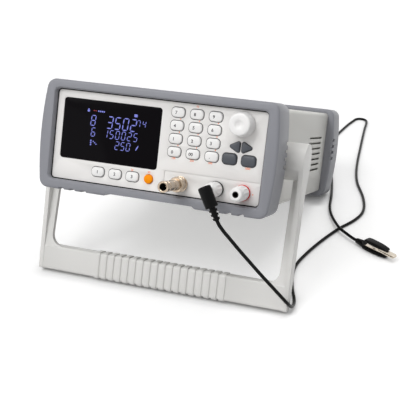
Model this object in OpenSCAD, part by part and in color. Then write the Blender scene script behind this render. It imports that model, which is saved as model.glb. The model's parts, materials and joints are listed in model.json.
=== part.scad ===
// Bench resistance tester: a sheet metal case between two rubber bumpers, standing on its bail handle,
// with a keypad, a rotary knob, a coaxial output, two binding posts and a test lead.
// Most pieces are drawn in the case's own frame: x to the right, y to the back and z up, from the middle
// of the front bumper's face. in_case() then leans the case back onto the handle and the rear bumper.

/* [Case] */
// Width of the sheet metal case
case_w = 215; // [211:0.5:217]
// Height of the sheet metal case
case_h = 94; // [92:0.5:96]
// Length over both bumpers
overall_l = 331; // [320:1:360]
// Thickness of the case sheet
sheet_t = 1.5; // [1:0.1:2]
// Outside radius of the bends along the case
bend_r = 4; // [3:0.5:5]
// Vent slots on each side
vent_count = 7; // [4:1:7]
// Distance between vent slots
vent_pitch = 6.1; // [5.6:0.1:6.6]
// Length of a vent slot
vent_l = 72; // [50:1:78]
// Height of a vent slot
vent_h = 2.4; // [2:0.1:3]
// Distance of the vents from the rear bumper
vent_inset = 24; // [18:1:40]

/* [Bumpers] */
// Rubber beside the case, at the middle of the bowed sides
bumper_side_t = 10; // [9:0.5:10.5]
// Rubber above the case
bumper_top_t = 5; // [4:0.5:6]
// Rubber below the case, with the feet
bumper_bottom_t = 6; // [5:0.5:8]
// Length of a bumper along the case
bumper_l = 41; // [38:0.5:42]
// How far the bumper's sides bow out
bumper_bow = 4; // [3:0.5:5]
// Radius of the bumper's corners
bumper_corner_r = 9; // [8:0.5:12]
// Rounding of the bumper's outer edges
bumper_edge_r = 2.5; // [1.5:0.25:3]
// How far a bumper's lip reaches over the panel at the sides
lip_side = 2.7; // [2.5:0.1:4]
// How far a bumper's lip reaches over the panel above and below
lip_top = 3.5; // [3:0.1:4]
// Depth from a bumper's face to the panel behind it
panel_recess = 6; // [5:0.5:7]
// Height of the foot pads under a bumper
foot_h = 2.5; // [2:0.25:3]
// Half the gap between the left and right foot pads
foot_inner_x = 43; // [36:1:50]
// Width of a groove across a foot pad
foot_groove_w = 5.5; // [4:0.5:6]
// Distance between the grooves of a foot pad
foot_groove_pitch = 11.8; // [10:0.2:12]

/* [Front panel] */
// Thickness of the front panel
panel_t = 3; // [2.6:0.1:3.4]
// Width of the display window
window_w = 100.2; // [96:0.2:102]
// Height of the display window
window_h = 58; // [54:0.5:60]
// Middle of the display window to the left of the panel's middle
window_x = -47.1; // [-50:0.1:-46]
// Middle of the display window above the panel's middle
window_z = 6.6; // [5:0.1:8]
// Thickness of the display window
window_t = 1.4; // [1:0.1:2]
// Depth of the sunk plate behind the terminals
plate_step = 0.5; // [0.3:0.1:0.8]
// Thickness of the terminal plate
plate_t = 1; // [0.8:0.1:1.4]

/* [Keys] */
// Width of a key
key_w = 12.6; // [12:0.1:13.4]
// Height of a key
key_h = 8.8; // [8.4:0.1:9.4]
// How far the keys stand out of the panel
key_proud = 2; // [1.6:0.1:2.6]
// How far a key travels when pressed
key_travel = 0.8; // [0.5:0.1:1]
// Gap round a key in the panel
key_gap = 0.35; // [0.2:0.05:0.5]
// Distance between key columns
key_pitch_x = 18.2; // [17:0.1:19]
// Distance between key rows
key_pitch_z = 12.2; // [11.8:0.1:12.6]
// Diameter of the round start button
start_d = 8.6; // [8:0.2:10]

/* [Knob] */
// Diameter of the knob's skirt
knob_d = 23; // [21:0.5:24]
// How far the knob stands out of the panel
knob_l = 15.2; // [13:0.2:18]

/* [Terminals] */
// Diameter of a binding post's cap
post_d = 14; // [13:0.5:15]
// How far a binding post stands out of the panel
post_l = 24; // [22:0.5:26]
// Distance between the binding posts
post_pitch = 25.4; // [24:0.2:27]
// Diameter of the plug sockets in the binding posts
socket_d = 4; // [4:0.1:4.2]
// Diameter of the coaxial connector's barrel
coax_d = 10; // [9.2:0.2:10.8]
// How far the coaxial connector stands out of the panel
coax_l = 45.6; // [42:0.2:50]

/* [Handle] */
// Distance from the pivot to the bottom of the crossbar
handle_reach = 143.1; // [140:0.1:147]
// Gap between an arm and the bumpers' sides
arm_gap = 3.7; // [3:0.1:4.5]
// Thickness of an arm across the instrument
arm_t = 11.3; // [10.5:0.1:12.5]
// Radius of the pivot hubs
hub_r = 18.2; // [17:0.2:19.4]
// Height of the crossbar
bar_h = 25.6; // [22:0.2:28]
// Thickness of the crossbar
bar_t = 14; // [12.5:0.5:16]
// Radius inside the corners between arm and crossbar
handle_fillet_r = 12; // [8:0.5:16]
// Grip ribs round the crossbar
rib_count = 18; // [10:1:20]
// Distance between grip ribs
rib_pitch = 7.9; // [7:0.1:8.2]
// How far the grip ribs stand out
rib_proud = 1; // [0.6:0.1:1.4]
// Gap between a hub and the front bumper
hub_gap = 5.8; // [4:0.1:8]
// Pivot below the case's middle
pivot_drop = 1.2; // [0:0.1:4]
// Radius of the pivot bolts
bolt_r = 3; // [2.5:0.25:4]

/* [Test lead] */
// Diameter of the lead
lead_d = 3.4; // [3:0.1:3.8]
// Diameter of the lead's plug
plug_d = 12; // [11:0.5:13]
// Length of the plug's grip
plug_l = 20; // [18:0.5:24]
// Angle of the plug from straight down
plug_turn = 29; // [20:1:40]
// Height of the clip where it is thickest
clip_h = 12; // [11:0.5:14]
// Width of the clip
clip_w = 10; // [9:0.5:12]
// Length of the clip's jaws in front of the pin
jaw_l = 23; // [20:0.5:26]
// Length of the clip's shells behind the pin
clip_tail = 31; // [28:0.5:34]

/* [Hidden] */

// Colours as the photograph shows them
bumper_grey = [0.56, 0.56, 0.58];
case_ivory = [0.86, 0.86, 0.84];
panel_white = [0.91, 0.905, 0.89];
handle_grey = [0.85, 0.85, 0.83];
key_white = [0.97, 0.97, 0.96];
key_slate = [0.36, 0.38, 0.42];
signal_orange = [0.98, 0.58, 0.08];
signal_red = [0.82, 0.12, 0.10];
lead_black = [0.05, 0.05, 0.055];
inlet_black = [0.07, 0.07, 0.08];
nickel = [0.70, 0.66, 0.60];
steel = [0.75, 0.75, 0.76];
board_green = [0.10, 0.36, 0.22];

// Clearances
touch_gap = 0.3;    // between pieces that move past each other
slip_gap = 0.15;    // round pieces that are pushed together
turn_gap = 0.05;    // round a shaft in its bore
cut = 1;            // how far a cutting tool reaches past a face

// Places on the panels are given for the standard case, and keep their share of a wider or higher one
standard_w = 215;
standard_h = 94;
standard_l = 331;
function across(x) = x * case_w / standard_w;
function up(z) = z * case_h / standard_h;
function along(y) = y * overall_l / standard_l;

// Bumper profile
bumper_w = case_w + 2 * bumper_side_t;
bumper_h = case_h + bumper_top_t + bumper_bottom_t;
opening_w = case_w - 2 * lip_side;
opening_h = case_h - 2 * lip_top;
bumper_top = case_h / 2 + bumper_top_t;
bumper_bottom = bumper_top - bumper_h;
side_half = bumper_h / 2;
side_z = (bumper_top + bumper_bottom) / 2;
side_r = (pow(side_half, 2) + pow(bumper_bow, 2)) / (2 * bumper_bow);
side_x = bumper_w / 2 - side_r;
side_steps = 8;
corner_steps = 6;
back_edge_r = 1.5;
groove_depth = 2;
side_groove_top = 16;
side_groove_pitch = 7.3;
side_groove_h = 3.4;
side_groove_l = 11;

// Case
shell_front = panel_recess + panel_t;
rear_face = overall_l - panel_recess;
rear_t = sheet_t;
shell_back = rear_face - rear_t;
vent_back = overall_l - bumper_l - vent_inset;
vent_lip_t = 0.8;
screw_x = case_w / 2 - 18;
screw_ys = [bumper_l + 14, overall_l - bumper_l - 14];

// Places of the panel's pieces, across and up
window_mid = [across(window_x), up(window_z)];
key_step = [across(key_pitch_x), up(key_pitch_z)];
key_x0 = across(37.1) - key_step[0];
key_z0 = up(15.1) + 1.5 * key_step[1];
menu_x0 = across(-55.5);
menu_pitch = across(17.7);
menu_z = up(-31.6);
start_x = across(-3.7);
knob_x = across(81.5);
knob_z = up(29.2);
arrow_x = [across(76.3), across(87.3)];
arrow_z = up(8.8);
slate_x = [across(72.4), across(90.4)];
slate_z = up(-2.9);
slate_w = 13.4;
slate_h = 9.8;
terminal_z = up(-32);
red_x = across(88);
black_x = red_x - post_pitch;
coax_x = across(27.7);
plate_left = across(11.4);
plate_top = up(-21.5);

// Depths behind the panel's face, for keys and boards
key_corner_r = 3.4;
flange_rim = 0.8;
flange_t = 1;
flange_front = -panel_t - touch_gap;
key_root = flange_front - flange_t / 2;
stem_end = flange_front - flange_t - 2.2;
switch_top = stem_end - key_travel - 0.1;
board_front = switch_top - 1.6;
board_t = 1.6;
post_r = 2;
post_gap = post_r + 0.8;
board_edge = 3.5;
post_top = key_z0 + key_h / 2 + flange_rim + post_gap;
post_bottom = key_z0 - 3 * key_step[1] - key_h / 2 - flange_rim - post_gap;
post_left = menu_x0 - key_w / 2 - flange_rim - post_gap;
post_mid = start_x + start_d / 2 + flange_rim + post_gap;
board_left = window_mid[0] + window_w / 2 + 2.5;
board_right = across(102.5);
board_top = post_top + 1.5;
board_bottom = post_bottom - board_edge;
strip_left = post_left - board_edge;
strip_right = max(post_mid, board_left) + board_edge;
strip_bottom = up(-42);
strip_top = up(-26);
keypad_posts = [
    for (x = [key_x0, key_x0 + 2 * key_step[0], across(98)], z = [post_top, post_bottom]) [x, z],
    for (x = [post_left, post_mid]) [x, menu_z]];

// Terminals
stud_r = 2.9;
post_hole_r = 4;
ring_t = 2.2;
cap_foot = ring_t + touch_gap;
stud_tip = post_l - 0.6;
socket_depth = 18;
coax_bore_r = 3.2;
coax_lead_in = 0.5;
coax_seat = 7;
coax_contact = 7.5;
coax_ring_from = 4.2;
coax_ring_to = 11.5;

// Handle, from the pivot
pivot_y = bumper_l + hub_gap + hub_r;
pivot_z = -pivot_drop;
arm_inner = bumper_w / 2 + arm_gap;
arm_outer = arm_inner + arm_t;
bar_top = -(handle_reach - bar_h);
bar_mid = -(handle_reach - bar_h / 2);
bar_lead = 6.3;     // how far the crossbar's middle lies ahead of the pivot
bar_front = -bar_lead - bar_t / 2;
bar_back = bar_t / 2 - bar_lead;
bar_edge_r = 2.5;
rib_w = 4.9;
flange_w = 4.4;     // thickness of an arm's outer flange
flange_proud = 0.4; // and how far it stands out round the crossbar's end
flange_taper = 4;   // angle of the flange's rear edge
web_t = 5;
web_slope = 11.5;   // how far the web falls back from the crossbar to the hub
disc_t = 2.3;
hub_inner = case_w / 2 + disc_t + touch_gap;
bolt_end = arm_outer - 8;

// How the instrument stands: the rear lower edges of the grip ribs and of the rear bumper touch the table
rib_r = bar_edge_r + rib_proud;
rib_y = pivot_y + bar_back + rib_proud - rib_r;
rib_z = pivot_z - handle_reach - rib_proud + rib_r;
heel_r = bumper_edge_r;
heel_y = overall_l - heel_r;
heel_z = bumper_bottom + heel_r;
span = norm([heel_y - rib_y, heel_z - rib_z]);
lean = atan2(heel_z - rib_z, heel_y - rib_y) - asin((heel_r - rib_r) / span);
case_lift = rib_r + rib_y * sin(lean) - rib_z * cos(lean);
// the origin lies on the table, halfway between the coaxial connector's tip and the rear bumper
front_reach = (panel_recess - coax_l) * cos(lean) + (terminal_z - coax_d / 2) * sin(lean);
back_reach = heel_y * cos(lean) + (bumper_top - heel_r) * sin(lean) + heel_r;
case_shift = -(front_reach + back_reach) / 2;

// Inside and behind
encoder_r = 3;
inlet_z = up(-12);
inlet_w = 62;
inlet_h = 32;
inlet_t = 2.5;
inlet_edge = 1.8;
inlet_x = inlet_w / 2 + inlet_edge - opening_w / 2;
socket_x = 15;
fuse_x = -4;
fuse_w = 9;
fuse_h = 24;
fuse_l = 20;
fuse_d = 5.2;
fuse_depth = -8.5;
rocker_x = -18;
rocker_w = 11;
rocker_h = 20;
rocker_axis_z = -1.5;
rocker_pin_r = 1;
rocker_tilt = 7;
port_z = up(24);
serial_x = across(72);
serial_w = 17;
control_x = across(2);
control_w = 39;
board_z = 9 - case_h / 2;
main_w = across(190);
main_l = along(245);
main_y = along(60);
board_post_x = main_w / 2 - 10;
board_posts_y = [main_y + 15, main_y + main_l - 15];

// Test lead
lead_sides = 8;
plug_depth = post_l + 0.4 + plug_d / 2;
plug_head = 4.5;
relief_l = 12.5;
plug_way = [sin(plug_turn), 0, -cos(plug_turn)];
plug_out = on_table(plug_way) - on_table([0, 0, 0]);
boot_mouth = on_table([black_x, panel_recess - plug_depth, terminal_z]
    + plug_way * (plug_l - plug_head + relief_l));
pin_start = 7;
pin_end = plug_depth - 1;
clip_at = [across(196.2), along(17.4), 0];
clip_heading = -32;
pin_z = 6.5;
pin_r = 1;
jaw_t = 0.6;
jaw_rise = 2.1;
jaw_half_w = 2.6;
bite = 0.15;        // half the gap between the closed jaws
shell_top = pin_z - 2.3;
clip_tail_z = 4.4;
clip_way = [cos(clip_heading), sin(clip_heading), 0];
clip_end = clip_at - clip_tail * clip_way + [0, 0, clip_tail_z];
// Where the lead sags from the plug and passes round the handle's foot, from the foot's outer rear corner
foot_corner = on_table([arm_outer, pivot_y + bar_back, pivot_z - handle_reach]);
lead_hang = [
    [-52.5, -53, 104.8], [-46.5, -49, 92.9], [-38.5, -42.9, 78.9], [-30.5, -36.9, 65.5], [-22.5, -30.8, 52.1],
    [-14.4, -24.7, 39.1], [-6.4, -19.2, 26.7], [0.6, -14.4, 15.9], [2.8, -5.8, 7.5], [2.9, 3.7, 3.6],
    [0.8, 16.8, 1.4]];
// Where it lies on the table, for the standard case: a long loop behind the instrument that crosses itself
lead_lie = [
    [126.5, -88, 1.7], [120.5, -64, 1.7], [118.5, -40, 1.7], [121.5, -17.5, 1.7], [130.5, 19, 1.7],
    [144, 59.5, 1.7], [158, 90.5, 1.7], [163, 117, 1.7], [157, 153.5, 1.7], [141, 201.5, 1.7],
    [132, 250, 1.7], [123.5, 332, 1.7], [117.5, 398, 1.7], [113.5, 432, 1.7], [106, 444.5, 1.7],
    [98, 434, 1.7], [89, 401.5, 1.7], [82.5, 347, 1.7], [85.5, 299, 1.7], [95.5, 250, 1.7],
    [108, 201.5, 1.7], [117.5, 153.5, 1.7], [126, 103, 3], [144, 59.5, 5.3], [157, 44.5, 5]];
lead_way = concat(
    [for (p = lead_hang) foot_corner + p],
    [for (p = lead_lie) [across(p[0]), along(p[1]), p[2]]]);

// Rotates and lifts the case's frame onto the table
module in_case() {
    translate([0, case_shift, case_lift]) rotate([-lean, 0, 0]) children();
}

// A point of the case's frame, where it is on the table
function on_table(p) = [
    p[0],
    p[1] * cos(lean) + p[2] * sin(lean) + case_shift,
    -p[1] * sin(lean) + p[2] * cos(lean) + case_lift
];

// Extrudes an outline drawn in x and z from y0 back to y1
module along_y(y0, y1) {
    translate([0, y1, 0]) rotate([90, 0, 0]) linear_extrude(y1 - y0) children();
}

// Extrudes an outline drawn in y and z from x0 to x1
module along_x(x0, x1) {
    translate([x0, 0, 0]) rotate([90, 0, 90]) linear_extrude(x1 - x0) children();
}

// Stands a piece on the front panel at x and z, with its own z pointing out of the panel
module on_panel(x, z) {
    translate([x, panel_recess, z]) rotate([90, 0, 0]) children();
}

// Stands a piece on the rear panel at x and z, with its own z pointing out to the back
module on_rear(x, z) {
    translate([x, rear_face, z]) rotate([90, 0, 180]) children();
}

// Draws its children on both sides of the case
module both_sides() {
    for (side = [0, 1]) mirror([side, 0, 0]) children();
}

// A rectangle with true round corners, centred
module rounded(w, h, r) {
    square([w - 2 * r, h], center = true);
    square([w, h - 2 * r], center = true);
    for (x = [-1, 1], y = [-1, 1]) translate([x * (w / 2 - r), y * (h / 2 - r)]) circle(r, $fn = 32);
}

function arc(c, r, a0, a1, n) =
    [for (i = [0:n]) let (a = a0 + (a1 - a0) * i / n) c + r * [cos(a), sin(a)]];

// Points of a rounded rectangle, the same number for every size
function ring_of(w, h, r) = concat(
    arc([w / 2 - r, h / 2 - r], r, 0, 90, 4), arc([r - w / 2, h / 2 - r], r, 90, 180, 4),
    arc([r - w / 2, r - h / 2], r, 180, 270, 4), arc([w / 2 - r, r - h / 2], r, 270, 360, 4));

// Skins a solid over rings that have the same number of points
module skin(rings) {
    n = len(rings[0]);
    last = len(rings) - 1;
    points = [for (ring = rings, p = ring) p];
    walls = [for (i = [0:last - 1], j = [0:n - 1], half = [0, 1]) let (
        a = i * n + j, b = i * n + (j + 1) % n, c = a + n, d = b + n)
        half == 0 ? [a, b, d] : [a, d, c]];
    polyhedron(points, concat([[for (j = [n - 1:-1:0]) j]], walls, [[for (j = [0:n - 1]) last * n + j]]));
}

// Case outline, grown by e
module case_2d(e = 0) {
    rounded(case_w + 2 * e, case_h + 2 * e, bend_r + e);
}

// Outline of a bumper, shrunk by e, as points with bowed sides and round corners
function bumper_ring(e, y) = let (
    r = bumper_corner_r,
    top = bumper_top - r - side_z,
    corner_x = side_x + sqrt(pow(side_r - r, 2) - pow(top, 2)),
    tip = asin(top / (side_r - r)),
    right = arc([side_x, side_z], side_r - e, -tip, tip, side_steps),
    upper = arc([corner_x, side_z + top], r - e, tip, 90, corner_steps),
    half = concat([for (i = [0:side_steps - 1]) right[i]], upper),
    turned = [for (p = half) [-p[0], 2 * side_z - p[1]]],
    corner_ul = [for (i = [corner_steps:-1:1]) [-upper[i][0], upper[i][1]]],
    corner_lr = [for (p = corner_ul) [-p[0], 2 * side_z - p[1]]])
    [for (p = concat(half, corner_ul, turned, corner_lr)) [p[0], y, p[1]]];

// A rubber bumper with its feet, as the front one lies
module bumper() {
    edge_turns = [0:30:90];
    difference() {
        skin(concat(
            [for (a = edge_turns) bumper_ring(bumper_edge_r * (1 - sin(a)), bumper_edge_r * (1 - cos(a)))],
            [bumper_ring(0, bumper_l - back_edge_r), bumper_ring(back_edge_r, bumper_l)]));
        // pocket that holds the case
        along_y(panel_recess, bumper_l + cut) case_2d(slip_gap);
        // opening in the face, flared at the front
        along_y(-cut, panel_recess + cut) rounded(opening_w, opening_h, 4);
        skin([for (s = [[-0.01, 2.6], [1.3, 0.8], [2.8, 0]])
            [for (p = ring_of(opening_w + s[1], opening_h + s[1], 4 + s[1] / 2)) [p[0], s[0], p[1]]]]);
        // hollow between the feet, with sloping ends
        along_y(-cut, bumper_l + cut) polygon([
            [-foot_inner_x - 4, bumper_bottom - cut], [-foot_inner_x - 3, bumper_bottom],
            [-foot_inner_x, bumper_bottom + foot_h], [foot_inner_x, bumper_bottom + foot_h],
            [foot_inner_x + 3, bumper_bottom], [foot_inner_x + 4, bumper_bottom - cut]]);
        // grooves across the feet and notches in the sides
        for (side = [-1, 1], i = [-1, 0, 1])
            translate([side * (foot_inner_x + 35.5 + i * foot_groove_pitch), bumper_l / 2, bumper_bottom])
                cube([foot_groove_w, bumper_l + 2 * cut, 2 * groove_depth], center = true);
        for (side = [-1, 1], i = [0:3])
            translate([side * bumper_w / 2, bumper_l, side_groove_top - i * side_groove_pitch])
                cube([2 * groove_depth, 2 * side_groove_l, side_groove_h], center = true);
    }
}

module front_bumper() {
    color(bumper_grey) in_case() bumper();
}

module rear_bumper() {
    color(bumper_grey) in_case() translate([0, overall_l, 0]) mirror([0, 1, 0]) bumper();
}

// Long holes with round ends, side by side
module vent_holes(count, pitch, l, h) {
    for (i = [0:count - 1]) translate([0, (i - (count - 1) / 2) * pitch]) {
        square([l - h, h], center = true);
        for (end = [-1, 1]) translate([end * (l - h) / 2, 0]) circle(h / 2, $fn = 16);
    }
}

// Pressed lips that slope inward and down behind the vent slots of one side
module vent_lips() {
    root = case_w / 2 - sheet_t + 0.2;
    tip = root - vent_h;
    along_y(vent_back - vent_l + vent_h / 2, vent_back - vent_h / 2)
        for (i = [0:vent_count - 1]) translate([0, (i - (vent_count - 1) / 2) * vent_pitch + vent_h / 2])
            polygon([[root, 0], [root, vent_lip_t], [tip, vent_lip_t - vent_h], [tip, -vent_h]]);
}

// Sheet bent over the top and both sides, with vents and holes for the pivot bolts
module top_cover() {
    color(case_ivory) in_case() difference() {
        union() {
            along_y(shell_front, shell_back) difference() {
                case_2d();
                case_2d(-sheet_t);
                translate([0, -case_h]) square([case_w + cut, 2 * (case_h / 2 + bend_r)], center = true);
                translate([0, -case_h / 2]) square([case_w - 2 * sheet_t, case_h], center = true);
            }
            both_sides() vent_lips();
        }
        both_sides() along_x(case_w / 2 - sheet_t, case_w) translate([vent_back - vent_l / 2, 0])
            vent_holes(vent_count, vent_pitch, vent_l, vent_h);
        translate([0, pivot_y, pivot_z]) rotate([0, 90, 0])
            cylinder(h = 2 * case_w, r = bolt_r + turn_gap, center = true, $fn = 48);
    }
}

// Bottom plate with its edges turned up inside the cover and posts for the main board
module bottom_cover() {
    flange_h = 14;
    skirt_h = 2 * (case_h / 2 + bend_r) - touch_gap;
    inner = case_w / 2 - sheet_t - touch_gap;
    color(case_ivory) in_case() difference() {
        union() {
            along_y(shell_front, shell_back) difference() {
                intersection() {
                    case_2d();
                    union() {
                        translate([0, -case_h]) square([case_w + cut, skirt_h], center = true);
                        translate([0, -case_h / 2]) square([2 * inner, 2 * flange_h], center = true);
                    }
                }
                rounded(2 * (inner - sheet_t), case_h - 2 * sheet_t, bend_r - sheet_t);
            }
            for (x = [-1, 1], y = board_posts_y) translate([x * board_post_x, y, (sheet_t - case_h) / 2])
                cylinder(h = board_z + (case_h - sheet_t) / 2, r = 3.5, $fn = 24);
        }
        for (x = [-1, 1], y = screw_ys) translate([x * screw_x, y, -case_h / 2 - cut])
            cylinder(h = sheet_t + 2 * cut, r = 1.8, $fn = 24);
    }
}

// Low-headed screws that hold the bottom plate
module cover_screws() {
    head_t = 1.6;
    shank_l = 6;
    recess = [4, 0.8, 1.2];
    color(steel) in_case() for (x = [-1, 1], y = screw_ys)
        translate([x * screw_x, y, -case_h / 2]) rotate([180, 0, 0]) difference() {
            union() {
                cylinder(h = head_t, r1 = 3.2, r2 = 2.6, $fn = 32);
                translate([0, 0, -shank_l]) cylinder(h = shank_l, r = 1.6, $fn = 24);
            }
            for (a = [0, 90]) translate([0, 0, head_t]) rotate([0, 0, a]) cube(recess, center = true);
        }
}

// Outline of an arrow key that points left, grown by e
module arrow_2d(e = 0) {
    hull() {
        translate([-3.3, 0]) circle(1.3 + e, $fn = 24);
        for (z = [-3.1, 3.1]) translate([3, z]) circle(1.5 + e, $fn = 24);
    }
}

// Openings for the keys, drawn in x and z
module key_holes() {
    for (x = [0:2], z = [0:3]) translate([key_x0 + x * key_step[0], key_z0 - z * key_step[1]])
        rounded(key_w + 2 * key_gap, key_h + 2 * key_gap, key_corner_r + key_gap);
    for (x = [0:2]) translate([menu_x0 + x * menu_pitch, menu_z])
        rounded(key_w + 2 * key_gap, key_h + 2 * key_gap, key_corner_r + key_gap);
    for (x = slate_x) translate([x, slate_z])
        rounded(slate_w + 2 * key_gap, slate_h + 2 * key_gap, key_corner_r + key_gap);
    translate([start_x, menu_z]) circle(start_d / 2 + key_gap, $fn = 48);
}

// White moulded panel with all its openings
module front_panel() {
    color(panel_white) in_case() difference() {
        along_y(panel_recess, shell_front) difference() {
            case_2d();
            key_holes();
            translate([arrow_x[0], arrow_z]) arrow_2d(key_gap);
            translate([arrow_x[1], arrow_z]) mirror([1, 0]) arrow_2d(key_gap);
            translate([knob_x, knob_z]) circle(4.6, $fn = 48);
            for (x = [red_x, black_x]) translate([x, terminal_z]) circle(post_hole_r, $fn = 48);
            translate([coax_x, terminal_z]) circle(coax_d / 2, $fn = 48);
            translate(window_mid) square([window_w - 8, window_h - 8], center = true);
        }
        // pocket for the window, and the step that the terminal plate lies in
        along_y(panel_recess - cut, panel_recess + window_t) translate(window_mid)
            rounded(window_w + 2 * slip_gap, window_h + 2 * slip_gap, 3);
        along_y(panel_recess - cut, panel_recess + plate_step + plate_t) terminal_plate_2d(slip_gap);
    }
    // posts behind the panel that carry the keypad board
    color(panel_white) in_case() for (p = keypad_posts) on_panel(p[0], p[1])
        translate([0, 0, board_front]) cylinder(h = panel_t / -2 - board_front, r = post_r, $fn = 24);
}

module terminal_plate_2d(e = 0) {
    right = opening_w / 2 + 1;
    bottom = -opening_h / 2 - 1;
    translate([(plate_left + right) / 2, (plate_top + bottom) / 2])
        rounded(right - plate_left + 2 * e, plate_top - bottom + 2 * e, 1.5);
}

// Sunk plate that carries the terminals
module terminal_plate() {
    color(panel_white) in_case()
        along_y(panel_recess + plate_step, panel_recess + plate_step + plate_t) difference() {
            terminal_plate_2d();
            for (x = [red_x, black_x]) translate([x, terminal_z]) circle(post_hole_r, $fn = 48);
            translate([coax_x, terminal_z]) circle(coax_d / 2, $fn = 48);
        }
}

module display_window() {
    color([0.03, 0.03, 0.04]) in_case() along_y(panel_recess, panel_recess + window_t)
        translate(window_mid) rounded(window_w, window_h, 3);
}

// Display glass on its board, behind the window
module display_module() {
    glass_t = 5;
    color([0.12, 0.14, 0.2]) in_case() {
        along_y(shell_front, shell_front + glass_t)
            translate(window_mid) square([window_w - 4, window_h - 2], center = true);
        along_y(shell_front + glass_t, shell_front + glass_t + board_t)
            translate(window_mid) square([window_w + 2, window_h], center = true);
    }
}

// Board behind the keys, with a switch for each key
module keypad_board() {
    switch_w = 6;
    switches = concat(
        [for (x = [0:2], z = [0:3]) [key_x0 + x * key_step[0], key_z0 - z * key_step[1]]],
        [for (x = [0:2]) [menu_x0 + x * menu_pitch, menu_z]],
        [for (x = slate_x) [x, slate_z]],
        [for (x = arrow_x) [x, arrow_z]],
        [[start_x, menu_z]]);
    color(board_green) in_case() {
        along_y(panel_recess - board_front, panel_recess - board_front + board_t) {
            translate([board_left, board_bottom])
                square([board_right - board_left, board_top - board_bottom]);
            translate([strip_left, strip_bottom])
                square([strip_right - strip_left, strip_top - strip_bottom]);
            translate([board_left, strip_top - cut])
                square([strip_right - board_left, board_bottom - strip_top + 2 * cut]);
        }
        along_y(panel_recess - switch_top, panel_recess - board_front)
            for (place = switches) translate(place) square(switch_w, center = true);
    }
}

// Flange and stem behind a key, which keep it in the panel and press its switch
module key_back(w, h) {
    translate([0, 0, flange_front - flange_t]) linear_extrude(flange_t) square([w, h], center = true);
    translate([0, 0, stem_end]) cylinder(h = flange_front - stem_end, r = 1.75, $fn = 24);
}

// A key with a crowned top
module panel_key(x, z, w = key_w, h = key_h) {
    in_case() on_panel(x, z) {
        hull() {
            translate([0, 0, key_root])
                linear_extrude(key_proud - 0.9 - key_root) rounded(w, h, key_corner_r);
            translate([0, 0, key_proud - 0.3]) linear_extrude(0.01) rounded(w - 0.9, h - 0.9, 3);
            translate([0, 0, key_proud - 0.01]) linear_extrude(0.01) rounded(w - 2.4, h - 2.4, 2.4);
        }
        key_back(w + 2 * flange_rim, h + 2 * flange_rim);
    }
}

// A white key of the keypad, by its column and row
module keypad_key(column, row) {
    color(key_white) panel_key(key_x0 + column * key_step[0], key_z0 - row * key_step[1]);
}

module key_row1_left() { keypad_key(0, 0); }
module key_row1_middle() { keypad_key(1, 0); }
module key_row1_right() { keypad_key(2, 0); }
module key_row2_left() { keypad_key(0, 1); }
module key_row2_middle() { keypad_key(1, 1); }
module key_row2_right() { keypad_key(2, 1); }
module key_row3_left() { keypad_key(0, 2); }
module key_row3_middle() { keypad_key(1, 2); }
module key_row3_right() { keypad_key(2, 2); }
module key_row4_left() { keypad_key(0, 3); }
module key_row4_middle() { keypad_key(1, 3); }
module key_row4_right() { keypad_key(2, 3); }
module menu_key_left() { color(key_white) panel_key(menu_x0, menu_z); }
module menu_key_middle() { color(key_white) panel_key(menu_x0 + menu_pitch, menu_z); }
module menu_key_right() { color(key_white) panel_key(menu_x0 + 2 * menu_pitch, menu_z); }
module cancel_key() { color(key_slate) panel_key(slate_x[0], slate_z, slate_w, slate_h); }
module confirm_key() { color(key_slate) panel_key(slate_x[1], slate_z, slate_w, slate_h); }

// The round button that starts a test
module start_button() {
    r = start_d / 2;
    color(signal_orange) in_case() on_panel(start_x, menu_z) {
        rotate_extrude($fn = 48) polygon([[0, key_root], [r, key_root], [r, key_proud - 0.8],
            [r - 0.25, key_proud - 0.25], [r - 0.8, key_proud], [0, key_proud + 0.2]]);
        key_back(start_d + 2 * flange_rim, start_d + 2 * flange_rim);
    }
}

// An arrow key, turned to the left or to the right
module arrow_key(side) {
    color(key_slate) in_case() on_panel(arrow_x[side], arrow_z) mirror([side, 0, 0]) {
        translate([0, 0, key_root]) linear_extrude(key_proud - 0.5 - key_root) arrow_2d();
        translate([0, 0, key_root]) linear_extrude(key_proud - key_root) arrow_2d(-0.5);
        key_back(9, 9);
    }
}

module arrow_key_left() { arrow_key(0); }
module arrow_key_right() { arrow_key(1); }

// Turned cap of the rotary control, with a finger dimple
module knob() {
    r = knob_d / 2;
    l = knob_l;
    color(key_white) in_case() on_panel(knob_x, knob_z) difference() {
        rotate_extrude($fn = 64) polygon(concat(
            [[0, touch_gap], [r - 0.4, touch_gap], [r, 1], [r, 2.6], [r - 0.5, 3.2]],
            arc([r - 3.4, l - 2.2], 2.2, 0, 90, 5),
            [[4.6, l], [4, l - 0.2]], arc([0, l + 3.6], 5.4, -48, -90, 4)));
        translate([0, 0, -cut]) cylinder(h = l - 3, r = encoder_r + turn_gap, $fn = 32);
    }
}

module encoder_shaft() {
    color(steel) in_case() on_panel(knob_x, knob_z)
        translate([0, 0, board_front + 1]) cylinder(h = knob_l - board_front - 5.5, r = encoder_r, $fn = 32);
}

// Rotary encoder on the keypad board, with the bush that centres its shaft in the panel
module encoder_body() {
    body_w = 12.4;
    body_top = -panel_t - touch_gap;
    color(steel) in_case() on_panel(knob_x, knob_z) difference() {
        union() {
            translate([0, 0, board_front])
                linear_extrude(body_top - board_front) square(body_w, center = true);
            translate([0, 0, body_top - cut]) cylinder(h = panel_t + cut, r = 4.5, $fn = 48);
        }
        translate([0, 0, board_front + 1 - turn_gap]) cylinder(h = 20, r = encoder_r + turn_gap, $fn = 32);
    }
}

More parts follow.
